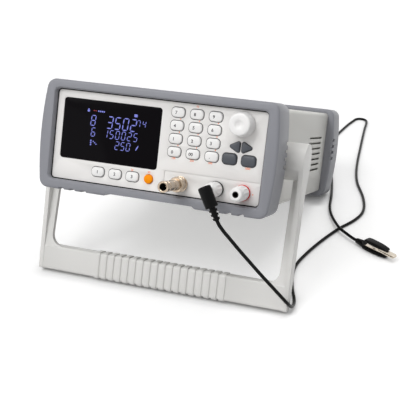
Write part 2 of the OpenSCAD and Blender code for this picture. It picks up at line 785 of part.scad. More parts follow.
// Panel half of the coaxial output: flange and hexagon in front, thread and nut behind
module coax_jack() {
    color(nickel) in_case() on_panel(coax_x, terminal_z) difference() {
        union() {
            translate([0, 0, -plate_step]) cylinder(h = plate_step + 1.4, r = 7.4, $fn = 48);
            cylinder(h = 4, r = 6.6, $fn = 6);
            translate([0, 0, -14]) cylinder(h = 16, r = coax_d / 2 - slip_gap, $fn = 48);
            translate([0, 0, -panel_t - 3]) cylinder(h = 3, r = 7.2, $fn = 6);
        }
        translate([0, 0, 1]) cylinder(h = 20, r = 3.5 + slip_gap, $fn = 32);
    }
}

// Knurled ring that locks the adapter to the panel connector
module coax_ring() {
    bore = coax_d / 2 + turn_gap;
    r = 7.2;
    lip = 0.6;
    color(nickel) in_case() on_panel(coax_x, terminal_z) difference() {
        rotate_extrude($fn = 64) polygon([
            [bore, coax_ring_from], [r - 0.4, coax_ring_from], [r, coax_ring_from + 0.5],
            [r, coax_ring_to - 2], [r - lip, coax_ring_to - 1.5], [r - lip, coax_ring_to],
            [bore, coax_ring_to]]);
        for (a = [0:24:359]) rotate([0, 0, a]) translate([r + 0.4, 0, coax_ring_from - cut])
            cylinder(h = coax_ring_to - 3.6, r = 0.7, $fn = 12);
    }
}

// Adapter barrel with its open socket
module coax_adapter() {
    r = coax_d / 2;
    l = coax_l;
    bottom = l - 14;
    contact_tip = l - coax_contact;
    spigot = [[0, 1.2], [3.5, 1.2], [3.5, 4]];
    groove = [[r, l - 22], [r - 0.5, l - 21.4], [r - 0.5, l - 13], [r, l - 12.4]];
    collar = [[r, l - 8.6], [r - 0.5, l - 8.2], [r - 0.5, l - 6], [r + 0.2, l - 5.4], [r + 0.2, l - 0.6]];
    mouth = [[r - 0.4, l], [coax_bore_r + coax_lead_in, l], [coax_bore_r, l - coax_lead_in],
        [coax_bore_r, l - coax_seat], [coax_bore_r - 0.5, l - coax_seat], [coax_bore_r - 0.5, bottom]];
    contact = [[1.1, bottom], [1.1, contact_tip - 0.4], [0, contact_tip]];
    color(nickel) in_case() on_panel(coax_x, terminal_z)
        rotate_extrude($fn = 64) polygon(concat(spigot, [[r, 4.1]], groove, collar, mouth, contact));
}

// Coloured ring and insulating bush of a binding post
module post_base(x, shade) {
    color(shade) in_case() on_panel(x, terminal_z) difference() {
        union() {
            translate([0, 0, -plate_step]) cylinder(h = plate_step + ring_t, r = post_d / 2 + 0.4, $fn = 64);
            translate([0, 0, -panel_t - 2]) cylinder(h = panel_t + 2, r = post_hole_r - slip_gap, $fn = 48);
        }
        translate([0, 0, -panel_t - 3]) cylinder(h = panel_t + ring_t + 4, r = stud_r + turn_gap, $fn = 48);
    }
}

module black_post_base() { post_base(black_x, lead_black); }
module red_post_base() { post_base(red_x, signal_red); }

// White fluted cap that screws down on a binding post
module post_cap(x) {
    r = post_d / 2;
    shoulder = post_l * 0.62;
    color(key_white) in_case() on_panel(x, terminal_z) difference() {
        rotate_extrude($fn = 64) polygon([
            [0, cap_foot], [r, cap_foot], [r, shoulder], [r - 1, shoulder + 2],
            [r - 1.1, post_l - 1], [r - 1.9, post_l], [0, post_l]]);
        for (a = [0:30:359]) rotate([0, 0, a]) translate([r + 1.6, 0, cap_foot + 1.6])
            cylinder(h = post_l, r = 2.3, $fn = 24);
        translate([0, 0, -cut]) cylinder(h = post_l + 2 * cut, r = stud_r + turn_gap, $fn = 48);
    }
}

module black_post_cap() { post_cap(black_x); }
module red_post_cap() { post_cap(red_x); }

// Metal studs of both posts, each with a plug socket, and their nuts behind the panel
module post_studs() {
    color(nickel) in_case() for (x = [red_x, black_x]) on_panel(x, terminal_z) difference() {
        union() {
            translate([0, 0, -13]) cylinder(h = stud_tip + 13, r = stud_r, $fn = 48);
            translate([0, 0, -panel_t - 5]) cylinder(h = 3, r = 5.5, $fn = 6);
        }
        translate([0, 0, stud_tip - socket_depth])
            cylinder(h = socket_depth + cut, r = socket_d / 2, $fn = 48);
    }
}

// The flange's straight edges meet the hub's disc in hollow curves, in y and z from the pivot. An edge
// lies c away from the pivot on the side that n points to, and this is the middle of its curve of radius r,
// which cuts a hair into the disc so that their faces cross cleanly.
function blend_mid(n, c, r) =
    (c + r) * n + sqrt(pow(hub_r + r - 0.04, 2) - pow(c + r, 2)) * [sign(n[0]) * n[1], -abs(n[0])];

module hub_blend_2d(n, c, r) {
    mid = blend_mid(n, c, r);
    difference() {
        polygon([[0, 0], mid * hub_r / (hub_r + r), mid, mid - r * n]);
        translate(mid) circle(r, $fn = 192);
    }
}

// Side outline of an arm's flange: the hub's disc tapering to the crossbar's end
module flange_2d() {
    front_way = [-1, 0];
    front_r = 60;
    front = flange_proud - bar_front;
    back_way = [cos(flange_taper), -sin(flange_taper)];
    back_r = 100;
    foot = [bar_back + flange_proud, bar_mid];
    back = foot * back_way;
    circle(hub_r, $fn = 96);
    hub_blend_2d(front_way, front, front_r);
    hub_blend_2d(back_way, back, back_r);
    polygon([[-front, bar_mid], foot, blend_mid(back_way, back, back_r) - back_r * back_way,
        [0, 0], blend_mid(front_way, front, front_r) - front_r * front_way]);
    bar_2d(flange_proud);
}

// Sloping web of an arm, from just behind the crossbar's front up to the hub
module web_2d() {
    low = bar_front + 0.6;
    high = low + web_slope;
    top = 3 - hub_r;
    polygon([[low, bar_top - 3], [low, bar_top], [high, top],
        [high + web_t, top], [low + web_t, bar_top], [low + web_t, bar_top - 3]]);
}

module bar_2d(e = 0) {
    translate([-bar_lead, bar_mid]) rounded(bar_t + 2 * e, bar_h + 2 * e, bar_edge_r + e);
}

// Bail handle: hubs, arms with an outer flange and a sloping web, and a crossbar with grip ribs
module handle() {
    color(handle_grey) in_case() translate([0, pivot_y, pivot_z]) {
        along_x(-arm_outer + 1, arm_outer - 1) bar_2d();
        for (i = [0:rib_count - 1]) translate([(i - (rib_count - 1) / 2) * rib_pitch, 0, 0])
            along_x(-rib_w / 2, rib_w / 2) bar_2d(rib_proud);
        both_sides() {
            difference() {
                union() {
                    along_x(arm_outer - flange_w, arm_outer) flange_2d();
                    along_x(hub_inner, arm_outer - 1) circle(hub_r, $fn = 96);
                }
                along_x(hub_inner - cut, bolt_end + turn_gap) circle(bolt_r + turn_gap, $fn = 48);
            }
            // web with a round corner on the crossbar
            intersection() {
                along_x(arm_inner - handle_fillet_r, arm_outer - 1) web_2d();
                along_y(-2 * hub_r, 2 * hub_r) difference() {
                    translate([arm_inner - handle_fillet_r, bar_top - 3])
                        square([arm_t + handle_fillet_r, -bar_top]);
                    translate([arm_inner - 2 * handle_fillet_r, bar_top + handle_fillet_r])
                        square([2 * handle_fillet_r, -bar_top]);
                    translate([arm_inner - handle_fillet_r, bar_top + handle_fillet_r])
                        circle(handle_fillet_r, $fn = 96);
                }
            }
        }
    }
}

// Toothed discs on the case that the hubs lock against
module detent_discs() {
    color(handle_grey) in_case() translate([0, pivot_y, pivot_z]) both_sides() difference() {
        along_x(case_w / 2, case_w / 2 + disc_t) circle(hub_r - 2, $fn = 64);
        along_x(case_w / 2 - cut, case_w) circle(bolt_r + turn_gap, $fn = 48);
        for (a = [0:30:359]) rotate([a, 0, 0]) translate([case_w / 2 + disc_t, 0, hub_r - 2])
            cube([2, 2.4, 7], center = true);
    }
}

// Bolts that the handle turns on, with their heads inside the case
module pivot_bolts() {
    inner = case_w / 2 - sheet_t;
    color(steel) in_case() translate([0, pivot_y, pivot_z]) both_sides() {
        along_x(inner - 4, bolt_end) circle(bolt_r, $fn = 48);
        along_x(inner - 5, inner) circle(2 * bolt_r, $fn = 6);
    }
}

// Main board with its shielded measuring circuit, capacitors and heat sink
module main_board() {
    shield = [across(70), along(60), up(22)];
    shield_at = [across(10), main_y + 15, board_t];
    sink = [across(40), along(51), up(35)];
    sink_at = [across(25), along(200), board_t];
    fins = 7;
    fin_t = 3;
    color(board_green) in_case() translate([0, 0, board_z]) difference() {
        union() {
            translate([-main_w / 2, main_y, 0]) cube([main_w, main_l, board_t]);
            translate(shield_at) cube(shield);
            for (i = [0:2]) translate([across(-10), along(170 + i * 24), board_t])
                cylinder(h = up(30), r = 9, $fn = 32);
            for (i = [0:fins - 1]) translate(sink_at + [0, i * (sink[1] - fin_t) / (fins - 1), 0])
                cube([sink[0], fin_t, sink[2]]);
            translate(sink_at) cube([sink[0], sink[1], 5]);
        }
        for (x = [-1, 1], y = board_posts_y) translate([x * board_post_x, y, -cut])
            cylinder(h = board_t + 2 * cut, r = 1.7, $fn = 24);
    }
}

// Mains transformer: stacked core and winding
module transformer() {
    core = [across(56), along(48), up(46)];
    yoke = [up(14), up(12)];
    leg = across(10);
    winding = [across(30), along(60)];
    window = core[2] - yoke[0] - yoke[1];
    color([0.45, 0.42, 0.4]) in_case() translate([across(-60), along(235), board_z + board_t]) {
        translate([-core[0] / 2, -core[1] / 2, 0]) cube([core[0], core[1], yoke[0]]);
        translate([-core[0] / 2, -core[1] / 2, core[2] - yoke[1]]) cube([core[0], core[1], yoke[1]]);
        for (side = [-1, 1]) translate([side * (core[0] - leg) / 2, 0, core[2] / 2])
            cube([leg, core[1], core[2]], center = true);
        translate([-winding[0] / 2, -core[1] / 2, cut]) cube([winding[0], core[1], core[2] - 2 * cut]);
        translate([-winding[0] / 2, -winding[1] / 2, yoke[0]]) cube([winding[0], winding[1], window]);
    }
}

// Rear panel with vents and openings for the inlet and both ports
module rear_panel() {
    color(case_ivory) in_case() along_y(rear_face - rear_t, rear_face) difference() {
        case_2d();
        translate([inlet_x, inlet_z]) square([inlet_w - 8, inlet_h - 6], center = true);
        translate([serial_x, port_z]) square([serial_w, 9.4], center = true);
        translate([control_x, port_z]) square([control_w, 9.4], center = true);
        translate([across(20), up(-20)]) rotate(90) vent_holes(12, across(6), up(28), 3);
    }
}

// Mains inlet with its socket, fuse compartment and switch bay in one moulding
module mains_inlet() {
    housing = [inlet_w - 8.4, inlet_h - 6.4, 24];
    socket_half = [8, 12];
    corner_cut = 3.5;
    blade = [2, 4, 13];
    color(inlet_black) in_case() on_rear(inlet_x, inlet_z) difference() {
        union() {
            translate([0, 0, inlet_t / 2]) cube([inlet_w, inlet_h, inlet_t], center = true);
            translate([0, 0, -housing[2] / 2]) cube(housing, center = true);
        }
        // socket for the mains plug, with two corners cut
        translate([socket_x, 0, -16]) linear_extrude(20) difference() {
            square(2 * socket_half, center = true);
            for (side = [-1, 1]) translate([side * socket_half[0], socket_half[1]]) rotate(45)
                square(corner_cut * sqrt(2), center = true);
        }
        translate([fuse_x, 0, -18]) linear_extrude(22) square([fuse_w, fuse_h], center = true);
        translate([rocker_x, 0, -12]) linear_extrude(16) square([rocker_w + 1, rocker_h + 1], center = true);
    }
    // pin that the rocker turns on
    color(inlet_black) in_case() on_rear(inlet_x, inlet_z) translate([rocker_x, 0, rocker_axis_z])
        rotate([0, 90, 0]) cylinder(h = rocker_w + 2, r = rocker_pin_r, center = true, $fn = 24);
    color(steel) in_case() on_rear(inlet_x, inlet_z) for (p = [[0, 5], [0, -5], [-4.5, 0]])
        translate([socket_x + p[0], p[1], -10.5]) cube(blade, center = true);
}

module fuse_drawer() {
    box = [fuse_w - 2 * touch_gap, fuse_h - 2 * touch_gap];
    cover = [fuse_w + 1.4, fuse_h + 1.4];
    cover_t = 1.4;
    box_l = 17;
    color(inlet_black) in_case() on_rear(inlet_x, inlet_z) translate([fuse_x, 0, 0]) difference() {
        union() {
            translate([0, 0, -box_l])
                linear_extrude(box_l + inlet_t + touch_gap + cover_t / 2) square(box, center = true);
            translate([0, 0, inlet_t + touch_gap]) linear_extrude(cover_t) square(cover, center = true);
        }
        translate([0, 0, fuse_depth]) cube([fuse_w + cut, fuse_l + 2 * slip_gap, 12], center = true);
    }
}

// Cartridge fuse lying between the drawer's walls
module fuse() {
    ferrule_l = 5;
    color([0.8, 0.82, 0.82]) in_case() on_rear(inlet_x, inlet_z) translate([fuse_x, 0, fuse_depth])
        rotate([90, 0, 0]) {
            cylinder(h = fuse_l, r = fuse_d / 2 - 0.3, center = true, $fn = 32);
            for (end = [-1, 1]) translate([0, 0, end * (fuse_l - ferrule_l) / 2])
                cylinder(h = ferrule_l, r = fuse_d / 2, center = true, $fn = 32);
        }
}

// Power switch rocker, standing in its off position
module power_rocker() {
    end = [rocker_h / 2, 2];
    keel = [4, -3.5];
    hollow = arc([0, 16], 14.3, -58, -122, 6);
    color(inlet_black) in_case() on_rear(inlet_x, inlet_z) translate([rocker_x, 0, rocker_axis_z])
        rotate([rocker_tilt, 0, 0]) along_x(-rocker_w / 2, rocker_w / 2) difference() {
            polygon(concat([[-end[0], end[1]], [-keel[0], keel[1]], keel, end], hollow));
            circle(rocker_pin_r + turn_gap, $fn = 24);
        }
}

// D-shaped port on the rear panel with its flange and two jack posts
module port(x, shell_w) {
    post_x = shell_w / 2 + 4;
    color(steel) in_case() on_rear(x, port_z) difference() {
        union() {
            linear_extrude(1) rounded(shell_w + 14, 12.5, 1.5);
            linear_extrude(6.2) port_2d(shell_w / 2, 4.2);
            translate([0, 0, -11]) linear_extrude(11) square([shell_w - 0.6, 8.8], center = true);
            for (side = [-1, 1]) translate([side * post_x, 0, 1]) cylinder(h = 5, r = 2.7, $fn = 6);
        }
        translate([0, 0, 1.5]) linear_extrude(6) port_2d(shell_w / 2 - 0.6, 3.6);
        for (side = [-1, 1]) translate([side * post_x, 0, 0.5]) cylinder(h = 6, r = 1.25, $fn = 24);
    }
}

// D-shaped outline by its half width at the top and its half height
module port_2d(half_w, half_h) {
    taper = 1.5;
    polygon([[-half_w, half_h], [half_w, half_h], [half_w - taper, -half_h], [taper - half_w, -half_h]]);
}

module rear_ports() {
    port(serial_x, serial_w);
    port(control_x, control_w);
}

// Turns a piece's own z along the plug's grip, from the axis of the black post
module at_plug() {
    in_case() on_panel(black_x, terminal_z) translate([0, 0, plug_depth])
        rotate([0, 0, plug_turn]) rotate([90, 0, 0]) children();
}

// Right-angled plug: grip, ribbed strain relief and the neck round its pin
module plug_body() {
    r = plug_d / 2;
    grip_end = plug_l - plug_head;
    rib_step = relief_l / 3.2;
    color(lead_black) difference() {
        union() {
            at_plug() rotate_extrude($fn = 48) polygon(concat(
                [[0, -plug_head]], arc([r - 1.6, 1.6 - plug_head], 1.6, -90, 0, 4),
                arc([r - 0.8, grip_end - 0.8], 0.8, 0, 90, 3), [[0, grip_end]]));
            at_plug() translate([0, 0, grip_end - 0.5])
                cylinder(h = relief_l + 0.5, r1 = 3, r2 = lead_d / 2 + 0.3, $fn = 32);
            at_plug() for (i = [0:2]) translate([0, 0, grip_end + 1.6 + i * rib_step])
                cylinder(h = 2.2, r1 = 4 - 0.3 * i, r2 = 3.7 - 0.3 * i, $fn = 32);
            in_case() on_panel(black_x, terminal_z) translate([0, 0, post_l + touch_gap])
                cylinder(h = plug_d / 2, r = r - 1.4, $fn = 48);
        }
        in_case() on_panel(black_x, terminal_z) cylinder(h = pin_end + turn_gap, r = socket_d / 2, $fn = 48);
    }
}

module plug_pin() {
    r = socket_d / 2 - turn_gap;
    color(nickel) in_case() on_panel(black_x, terminal_z) difference() {
        union() {
            translate([0, 0, pin_start + 1]) cylinder(h = pin_end - pin_start - 1, r = r, $fn = 48);
            translate([0, 0, pin_start]) cylinder(h = 1, r1 = 1.2, r2 = r, $fn = 48);
        }
        // slot that springs the pin in its socket
        translate([0, 0, pin_start]) cube([0.6, 2 * socket_d, 16], center = true);
    }
}

// Smooth way through the route's points, two steps to each stretch
function smooth(p, i, t) = let (
    a = p[max(i - 1, 0)], b = p[i], c = p[i + 1], e = p[min(i + 2, len(p) - 1)])
    b + 0.5 * t * ((c - a) + t * ((2 * a - 5 * b + 4 * c - e) + t * (3 * (b - c) + e - a)));
function unit(v) = v / norm(v);

// Test lead: a tube swept along its route
module test_lead() {
    route = concat([boot_mouth], lead_way, [clip_end]);
    last = len(route) - 1;
    curve = concat([for (i = [0:last - 1], t = [0, 0.5]) smooth(route, i, t)], [route[last]]);
    line = [for (p = curve) [p[0], p[1], max(p[2], lead_d / 2)]];
    end = len(line) - 1;
    // both ends lie flat on the pieces they meet
    rings = [for (i = [0:end]) let (
        way = i == 0 ? plug_out : i == end ? clip_way : unit(line[i + 1] - line[i - 1]),
        side = unit(cross(way, [0, 0, 1])),
        up = cross(side, way))
        [for (j = [0:lead_sides - 1]) let (a = (j + 0.5) * 360 / lead_sides)
            line[i] + lead_d / 2 / cos(180 / lead_sides) * (cos(a) * side + sin(a) * up)]];
    color(lead_black) skin(rings);
}

// Places the clip's pieces: x towards the jaws' tips from the pin, z up from the table
module at_clip() {
    translate(clip_at) rotate([0, 0, clip_heading]) children();
}

// Shell skinned over sections: place, half width, bottom and top
module clip_shell(sections) {
    skin([for (s = sections) let (h = s[3] - s[2], r = min(s[1], h / 2) * 0.8)
        [for (p = ring_of(2 * s[1], h, r)) [s[0], p[0], p[1] + (s[2] + s[3]) / 2]]]);
}

// Plastic shell under the lower jaw, which narrows to a sleeve round the lead
module clip_lower_shell() {
    w = clip_w / 2;
    top = shell_top;
    sleeve = [[-clip_tail, 2.6, 1.7, 7.1], [-26, 3.2, 1.2, 7.6], [-21, 4, 0.5, 7.8], [-18.4, 4.5, 0.2, top]];
    grip = [[-12, w, 0, top], [-4, w, 0, top], [4, w - 0.3, 0.3, top]];
    nose = [[11, w - 1.2, 1.2, top], [12.5, w - 1.6, 1.8, top - 0.3]];
    color(lead_black) at_clip() clip_shell(concat(sleeve, grip, nose));
}

module clip_upper_shell() {
    w = clip_w / 2;
    top = clip_h + 1;
    under = 2 * pin_z - shell_top;
    lever = [[-17.6, w - 1.4, 10.3, top - 1], [-16, w - 0.5, 9.9, top - 0.2], [-12, w, 9.5, top]];
    grip = [[-4, w, under, top], [4, w - 0.3, under, top - 0.3]];
    nose = [[11, w - 1.2, under, top - 1.2], [12.5, w - 1.6, under + 0.3, top - 1.8]];
    color(lead_black) at_clip() clip_shell(concat(lever, grip, nose));
}

// Side outline of a jaw from the pin forward, with its teeth, standing on the line z = 0
module jaw_2d() {
    start = 2.4;
    tooth = 2.2;
    back = [[start, jaw_rise], [12.5, jaw_rise], [jaw_l - 1.5, 1.9], [jaw_l, 1], [jaw_l, bite]];
    teeth = [for (i = [0:4]) each [[jaw_l - 1.2 - i * tooth, bite], [jaw_l - 2.3 - i * tooth, 0.8]]];
    polygon(concat(back, teeth, [[8, bite], [start, bite]]));
}

// Two ears round the pin, between y0 and y1 on both sides
module jaw_ears(y0, y1) {
    for (side = [0, 1]) mirror([0, side, 0]) along_y(y0, y1) {
        circle(jaw_rise, $fn = 32);
        translate([0, bite]) square([4, jaw_rise - bite]);
        translate([-4, 1.4]) square([4, jaw_rise - 1.4]);
    }
}

// Lower jaw with the pin that both jaws turn on, and the tail that is crimped on the lead
module clip_lower_jaw() {
    color(nickel) at_clip() translate([0, 0, pin_z]) {
        mirror([0, 0, 1]) {
            along_y(-jaw_half_w, jaw_half_w) jaw_2d();
            jaw_ears(jaw_half_w - 0.7, jaw_half_w);
            along_y(-jaw_half_w, jaw_half_w) translate([-17.5, jaw_rise - jaw_t]) square([14.5, jaw_t]);
        }
        rotate([90, 0, 0]) cylinder(h = 2 * jaw_half_w, r = pin_r, center = true, $fn = 48);
    }
}

// Upper jaw with the lever that the thumb presses
module clip_upper_jaw() {
    lever = [[-3, jaw_rise], [-12, jaw_rise + 0.8], [-16, jaw_rise + 1.2]];
    color(nickel) at_clip() translate([0, 0, pin_z]) difference() {
        union() {
            along_y(-jaw_half_w, jaw_half_w) jaw_2d();
            jaw_ears(jaw_half_w - 1.5, jaw_half_w - 0.8);
            along_y(-jaw_half_w, jaw_half_w)
                polygon(concat(lever, [for (i = [2:-1:0]) lever[i] - [0, jaw_t]]));
        }
        rotate([90, 0, 0]) cylinder(h = 8, r = pin_r + turn_gap, center = true, $fn = 48);
    }
}

// Torsion spring between the jaws: coils round the pin and a leg under each lever
module clip_spring() {
    wire = 0.4;
    inner = pin_r + turn_gap;
    coils = 4;
    coil_profile = [for (i = [0:coils - 1], p = [[0.15, 0], [1, 0.15], [1, 0.85], [0.15, 1]])
        [inner + wire * p[0], wire * (i - coils / 2 + p[1])]];
    color(steel) at_clip() translate([0, 0, pin_z]) {
        rotate([90, 0, 0]) rotate_extrude($fn = 64)
            polygon(concat([[inner, -wire * coils / 2]], coil_profile, [[inner, wire * coils / 2]]));
        for (side = [-1, 1]) translate([0, side * wire, side * (inner + wire / 2)])
            rotate([0, -90, 0]) cylinder(h = 8, r = wire / 2, $fn = 24);
    }
}

front_bumper();
rear_bumper();
top_cover();
bottom_cover();
front_panel();
terminal_plate();
display_window();
display_module();
keypad_board();
encoder_body();
encoder_shaft();
knob();
key_row1_left();
key_row1_middle();
key_row1_right();
key_row2_left();
key_row2_middle();
key_row2_right();
key_row3_left();
key_row3_middle();
key_row3_right();
key_row4_left();
key_row4_middle();
key_row4_right();
menu_key_left();
menu_key_middle();
menu_key_right();
start_button();
arrow_key_left();
arrow_key_right();
cancel_key();
confirm_key();
coax_jack();
coax_ring();
coax_adapter();
black_post_base();
black_post_cap();
red_post_base();
red_post_cap();
post_studs();
handle();
detent_discs();
pivot_bolts();
main_board();
transformer();
rear_panel();
mains_inlet();
fuse_drawer();
fuse();
power_rocker();
rear_ports();
cover_screws();
plug_body();
plug_pin();
test_lead();
clip_lower_jaw();
clip_upper_jaw();
clip_lower_shell();
clip_upper_shell();
clip_spring();
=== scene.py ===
"""Looks of a bench resistance tester: finishes, display, figures on the keys, test lead and studio.

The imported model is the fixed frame. Every piece here is placed from it, in metres, with +Z up.
"""

import json
import math

import bpy
from mathutils import Matrix, Quaternion, Vector

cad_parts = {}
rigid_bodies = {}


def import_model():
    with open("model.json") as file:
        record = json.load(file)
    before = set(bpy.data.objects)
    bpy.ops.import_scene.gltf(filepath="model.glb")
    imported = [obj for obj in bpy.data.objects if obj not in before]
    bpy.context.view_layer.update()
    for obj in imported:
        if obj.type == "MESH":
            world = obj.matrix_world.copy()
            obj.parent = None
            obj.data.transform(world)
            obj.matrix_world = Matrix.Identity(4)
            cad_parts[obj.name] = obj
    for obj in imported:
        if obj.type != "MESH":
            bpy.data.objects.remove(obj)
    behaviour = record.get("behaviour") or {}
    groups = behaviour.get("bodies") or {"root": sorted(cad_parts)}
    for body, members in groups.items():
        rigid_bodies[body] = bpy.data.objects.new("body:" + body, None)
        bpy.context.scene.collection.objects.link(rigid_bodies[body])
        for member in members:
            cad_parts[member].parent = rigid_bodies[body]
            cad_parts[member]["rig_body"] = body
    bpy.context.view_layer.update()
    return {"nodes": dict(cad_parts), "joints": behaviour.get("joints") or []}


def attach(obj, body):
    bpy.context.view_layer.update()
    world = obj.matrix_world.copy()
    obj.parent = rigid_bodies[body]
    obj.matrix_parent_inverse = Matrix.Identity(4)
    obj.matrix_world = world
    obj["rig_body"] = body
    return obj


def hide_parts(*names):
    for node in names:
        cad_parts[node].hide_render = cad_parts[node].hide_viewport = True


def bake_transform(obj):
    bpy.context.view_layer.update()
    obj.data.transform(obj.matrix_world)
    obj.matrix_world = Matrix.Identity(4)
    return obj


bl_info = {
    "name": "Bench resistance tester",
    "version": (1, 0, 0),
    "blender": (4, 5, 0),
    "location": "View3D > Sidebar > Tester",
    "description": "Finishes, display, key figures, test lead and studio of a bench resistance tester",
    "category": "Object",
}

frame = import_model()

MM = 0.001
ROOT = "instrument"

# The case's own directions and origin, from the joints: keys travel to the back, the bail turns on its pivot
JOINTS = {joint["name"]: joint for joint in frame["joints"]}
RIGHT = Vector((1, 0, 0))
BACK = Vector(JOINTS["start_button_press"]["axis"]).normalized()
UP = RIGHT.cross(BACK)
PIVOT = Vector(JOINTS["handle_swing"]["pos_m"])
PIVOT_BACK = 65 * MM
PIVOT_DROP = 1.2 * MM
CASE_ORIGIN = PIVOT - PIVOT_BACK * BACK + PIVOT_DROP * UP
LEAN = math.asin(-BACK.z)

# Places on the front panel, in millimetres across and up from its middle, and how far out from its face
PANEL_RECESS = 6
# How far out over the panel's face lie the print, the painted shade round the keys and along the panel's edge, and
# the keys
PRINT_OUT = 0.02
KEY_SHADE_OUT = 0.03
GAP_OUT = 0.04
KEY_PROUD = 2
KEY_COLUMNS = (18.9, 37.1, 55.3)
KEY_ROWS = (33.4, 21.2, 9.0, -3.2)
MENU_COLUMNS = (-55.5, -37.8, -20.1)
MENU_ROW = -31.6
KEY_SIZE = (12.6, 8.8)
KEY_CORNER = 3.4
SLATE_SIZE = (13.4, 9.8)
SLATE_KEYS = ((72.4, -2.9), (90.4, -2.9))
# Across, up and which way it points; then the three rounded corners of an arrow key, across, up and radius
ARROW_KEYS = ((76.3, 8.8, 1), (87.3, 8.8, -1))
ARROW_CORNERS = ((-3.3, 0, 1.3), (3, -3.1, 1.5), (3, 3.1, 1.5))
# Dark rings of painted shade round the keys: their gap from a key's edge, and their width
KEY_SHADE_GAP = 0.1
KEY_SHADE_LINE = 0.6
# The bumper's opening and its corner, and the width of the black ring of painted shade along the panel's edge
OPENING = (209.6, 87)
OPENING_CORNER = 3
OPENING_GAP = 1
TERMINAL_Z = -32
RED_X = 88
BLACK_X = 62.6
COAX_X = 27.7
# The plug: how far its middle stands out, its turn from straight down, and the reach of its strain relief
PLUG_OUT = 30.4
PLUG_TURN = math.radians(29)
RELIEF_REACH = 28


def panel_point(x, z, out=0):
    """A point over the front panel: x and z across and up, out towards the user, all in millimetres."""
    return CASE_ORIGIN + (x * RIGHT + z * UP + (PANEL_RECESS - out) * BACK) * MM


def panel_matrix(x, z, out=0):
    """Places a piece drawn flat in x and y on the front panel, facing the user."""
    turn = Matrix((RIGHT, UP, -BACK)).transposed().to_4x4()
    return Matrix.Translation(panel_point(x, z, out)) @ turn


def tone(red, green, blue):
    """A colour as it is seen, from 0 to 255, in the linear values that Blender's sockets take."""
    seen = [value / 255 for value in (red, green, blue)]
    return tuple(v / 12.92 if v <= 0.04045 else ((v + 0.055) / 1.055) ** 2.4 for v in seen)


# Settings


def colour_setting(name, description, default):
    return bpy.props.FloatVectorProperty(
        name=name, description=description, subtype="COLOR", size=3, min=0, max=1, default=default
    )


def lamp_setting(name, description, default):
    return bpy.props.FloatProperty(
        name=name, description=description, unit="POWER", min=0, max=200, default=default
    )


class TesterColours(bpy.types.PropertyGroup):
    """Colours of the finishes."""

    bumper: colour_setting("Bumpers", "Grey of the rubber bumpers", tone(134, 135, 141))
    case: colour_setting("Case", "Powder coat of the sheet metal case", tone(206, 205, 200))
    panel: colour_setting("Panel", "Moulded front panel", tone(228, 226, 224))
    handle: colour_setting("Handle", "Bail handle", tone(222, 221, 218))
    white: colour_setting("White parts", "Keys, knob and post caps", tone(236, 235, 234))
    slate: colour_setting("Slate keys", "Arrow, cancel and confirm keys", tone(62, 66, 73))
    orange: colour_setting("Orange", "Start button and printed marks", tone(250, 148, 14))
    display: colour_setting("Display", "Lit figures of the display", tone(112, 118, 200))
    nickel: colour_setting("Nickel", "Coaxial connector, posts and clip jaws", tone(178, 162, 144))


class TesterCamera(bpy.types.PropertyGroup):
    """The photograph's view."""

    place: bpy.props.FloatVectorProperty(
        name="Place",
        description="Where the camera stands",
        subtype="TRANSLATION",
        unit="LENGTH",
        default=(0.2884, -0.8405, 0.4542),
    )
    aim: bpy.props.FloatVectorProperty(
        name="Aim",
        description="A point that the camera looks at",
        subtype="TRANSLATION",
        unit="LENGTH",
        default=(-0.0085, 0.01676, 0.03354),
    )
    roll: bpy.props.FloatProperty(
        name="Roll", description="Turn about the line of sight", subtype="ANGLE", default=0.00326
    )
    lens: bpy.props.FloatProperty(
        name="Lens",
        description="Focal length on a 36 mm sensor, in millimetres",
        unit="CAMERA",
        min=20,
        max=200,
        default=78.98,
    )


class TesterLead(bpy.types.PropertyGroup):
    """The test lead."""

    diameter: bpy.props.FloatProperty(
        name="Diameter",
        description="Outside diameter of the lead",
        unit="LENGTH",
        min=0.002,
        max=0.006,
        default=0.0034,
    )
    length: bpy.props.FloatProperty(
        name="Length",
        description="Real length from the plug to the clip",
        unit="LENGTH",
        min=0.3,
        max=3,
        default=1.162,
    )


class TesterStage(bpy.types.PropertyGroup):
    """Floor and lamps."""

    floor_size: bpy.props.FloatProperty(
        name="Floor", description="Side of the floor", unit="LENGTH", min=2, max=20, default=8
    )
    world_light: bpy.props.FloatProperty(
        name="World light", description="Even light from all round", min=0, max=2, default=0.32
    )
    floor_glow: bpy.props.FloatProperty(
        name="Floor glow",
        description="White that the floor adds where it is seen",
        subtype="FACTOR",
        min=0,
        max=1,
        default=0.44,
    )
    key_power: lamp_setting("Key lamp", "Large lamp above the user", 22.5)
    fill_power: lamp_setting("Fill lamp", "Lamp in front, on the left", 4)
    top_power: lamp_setting("Top lamp", "Lamp overhead, a little to the right", 13)


# Helpers for pieces

# Triangles of a CAD copy are merged where their corners meet this closely, and where they lie this flat
MEET_WITHIN = 0.000002
FLAT_WITHIN = math.radians(0.6)


def deselect():
    bpy.ops.object.select_all(action="DESELECT")


def link_new(name, data):
    """A new object in the scene."""
    obj = bpy.data.objects.new(name, data)
    bpy.context.scene.collection.objects.link(obj)
    return obj


def pick(*objects):
    """Selects only these objects and makes the first one active."""
    deselect()
    for obj in objects:
        obj.select_set(True)
    bpy.context.view_layer.objects.active = objects[0]


def settle(obj, name):
    """Names a finished piece and moves its place into its mesh."""
    pick(obj)
    bpy.ops.object.transform_apply(location=True, rotation=True, scale=True)
    obj.name = name
    obj.data.name = name
    return obj


def join(objects, name):
    """Joins flat pieces into one."""
    pick(*objects)
    bpy.ops.object.join()
    return settle(bpy.context.active_object, name)


def dress(obj, material, body):
    """Gives a new piece its material and its body."""
    obj.data.materials.clear()
    obj.data.materials.append(material)
    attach(obj, body)
    return obj


def body_of(node):
    return frame["nodes"][node]["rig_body"]


def paint(material, *nodes):
    """Puts a material on CAD nodes that keep their own mesh."""
    for node in nodes:
        obj = frame["nodes"][node]
        obj.data.materials.clear()
        obj.data.materials.append(material)


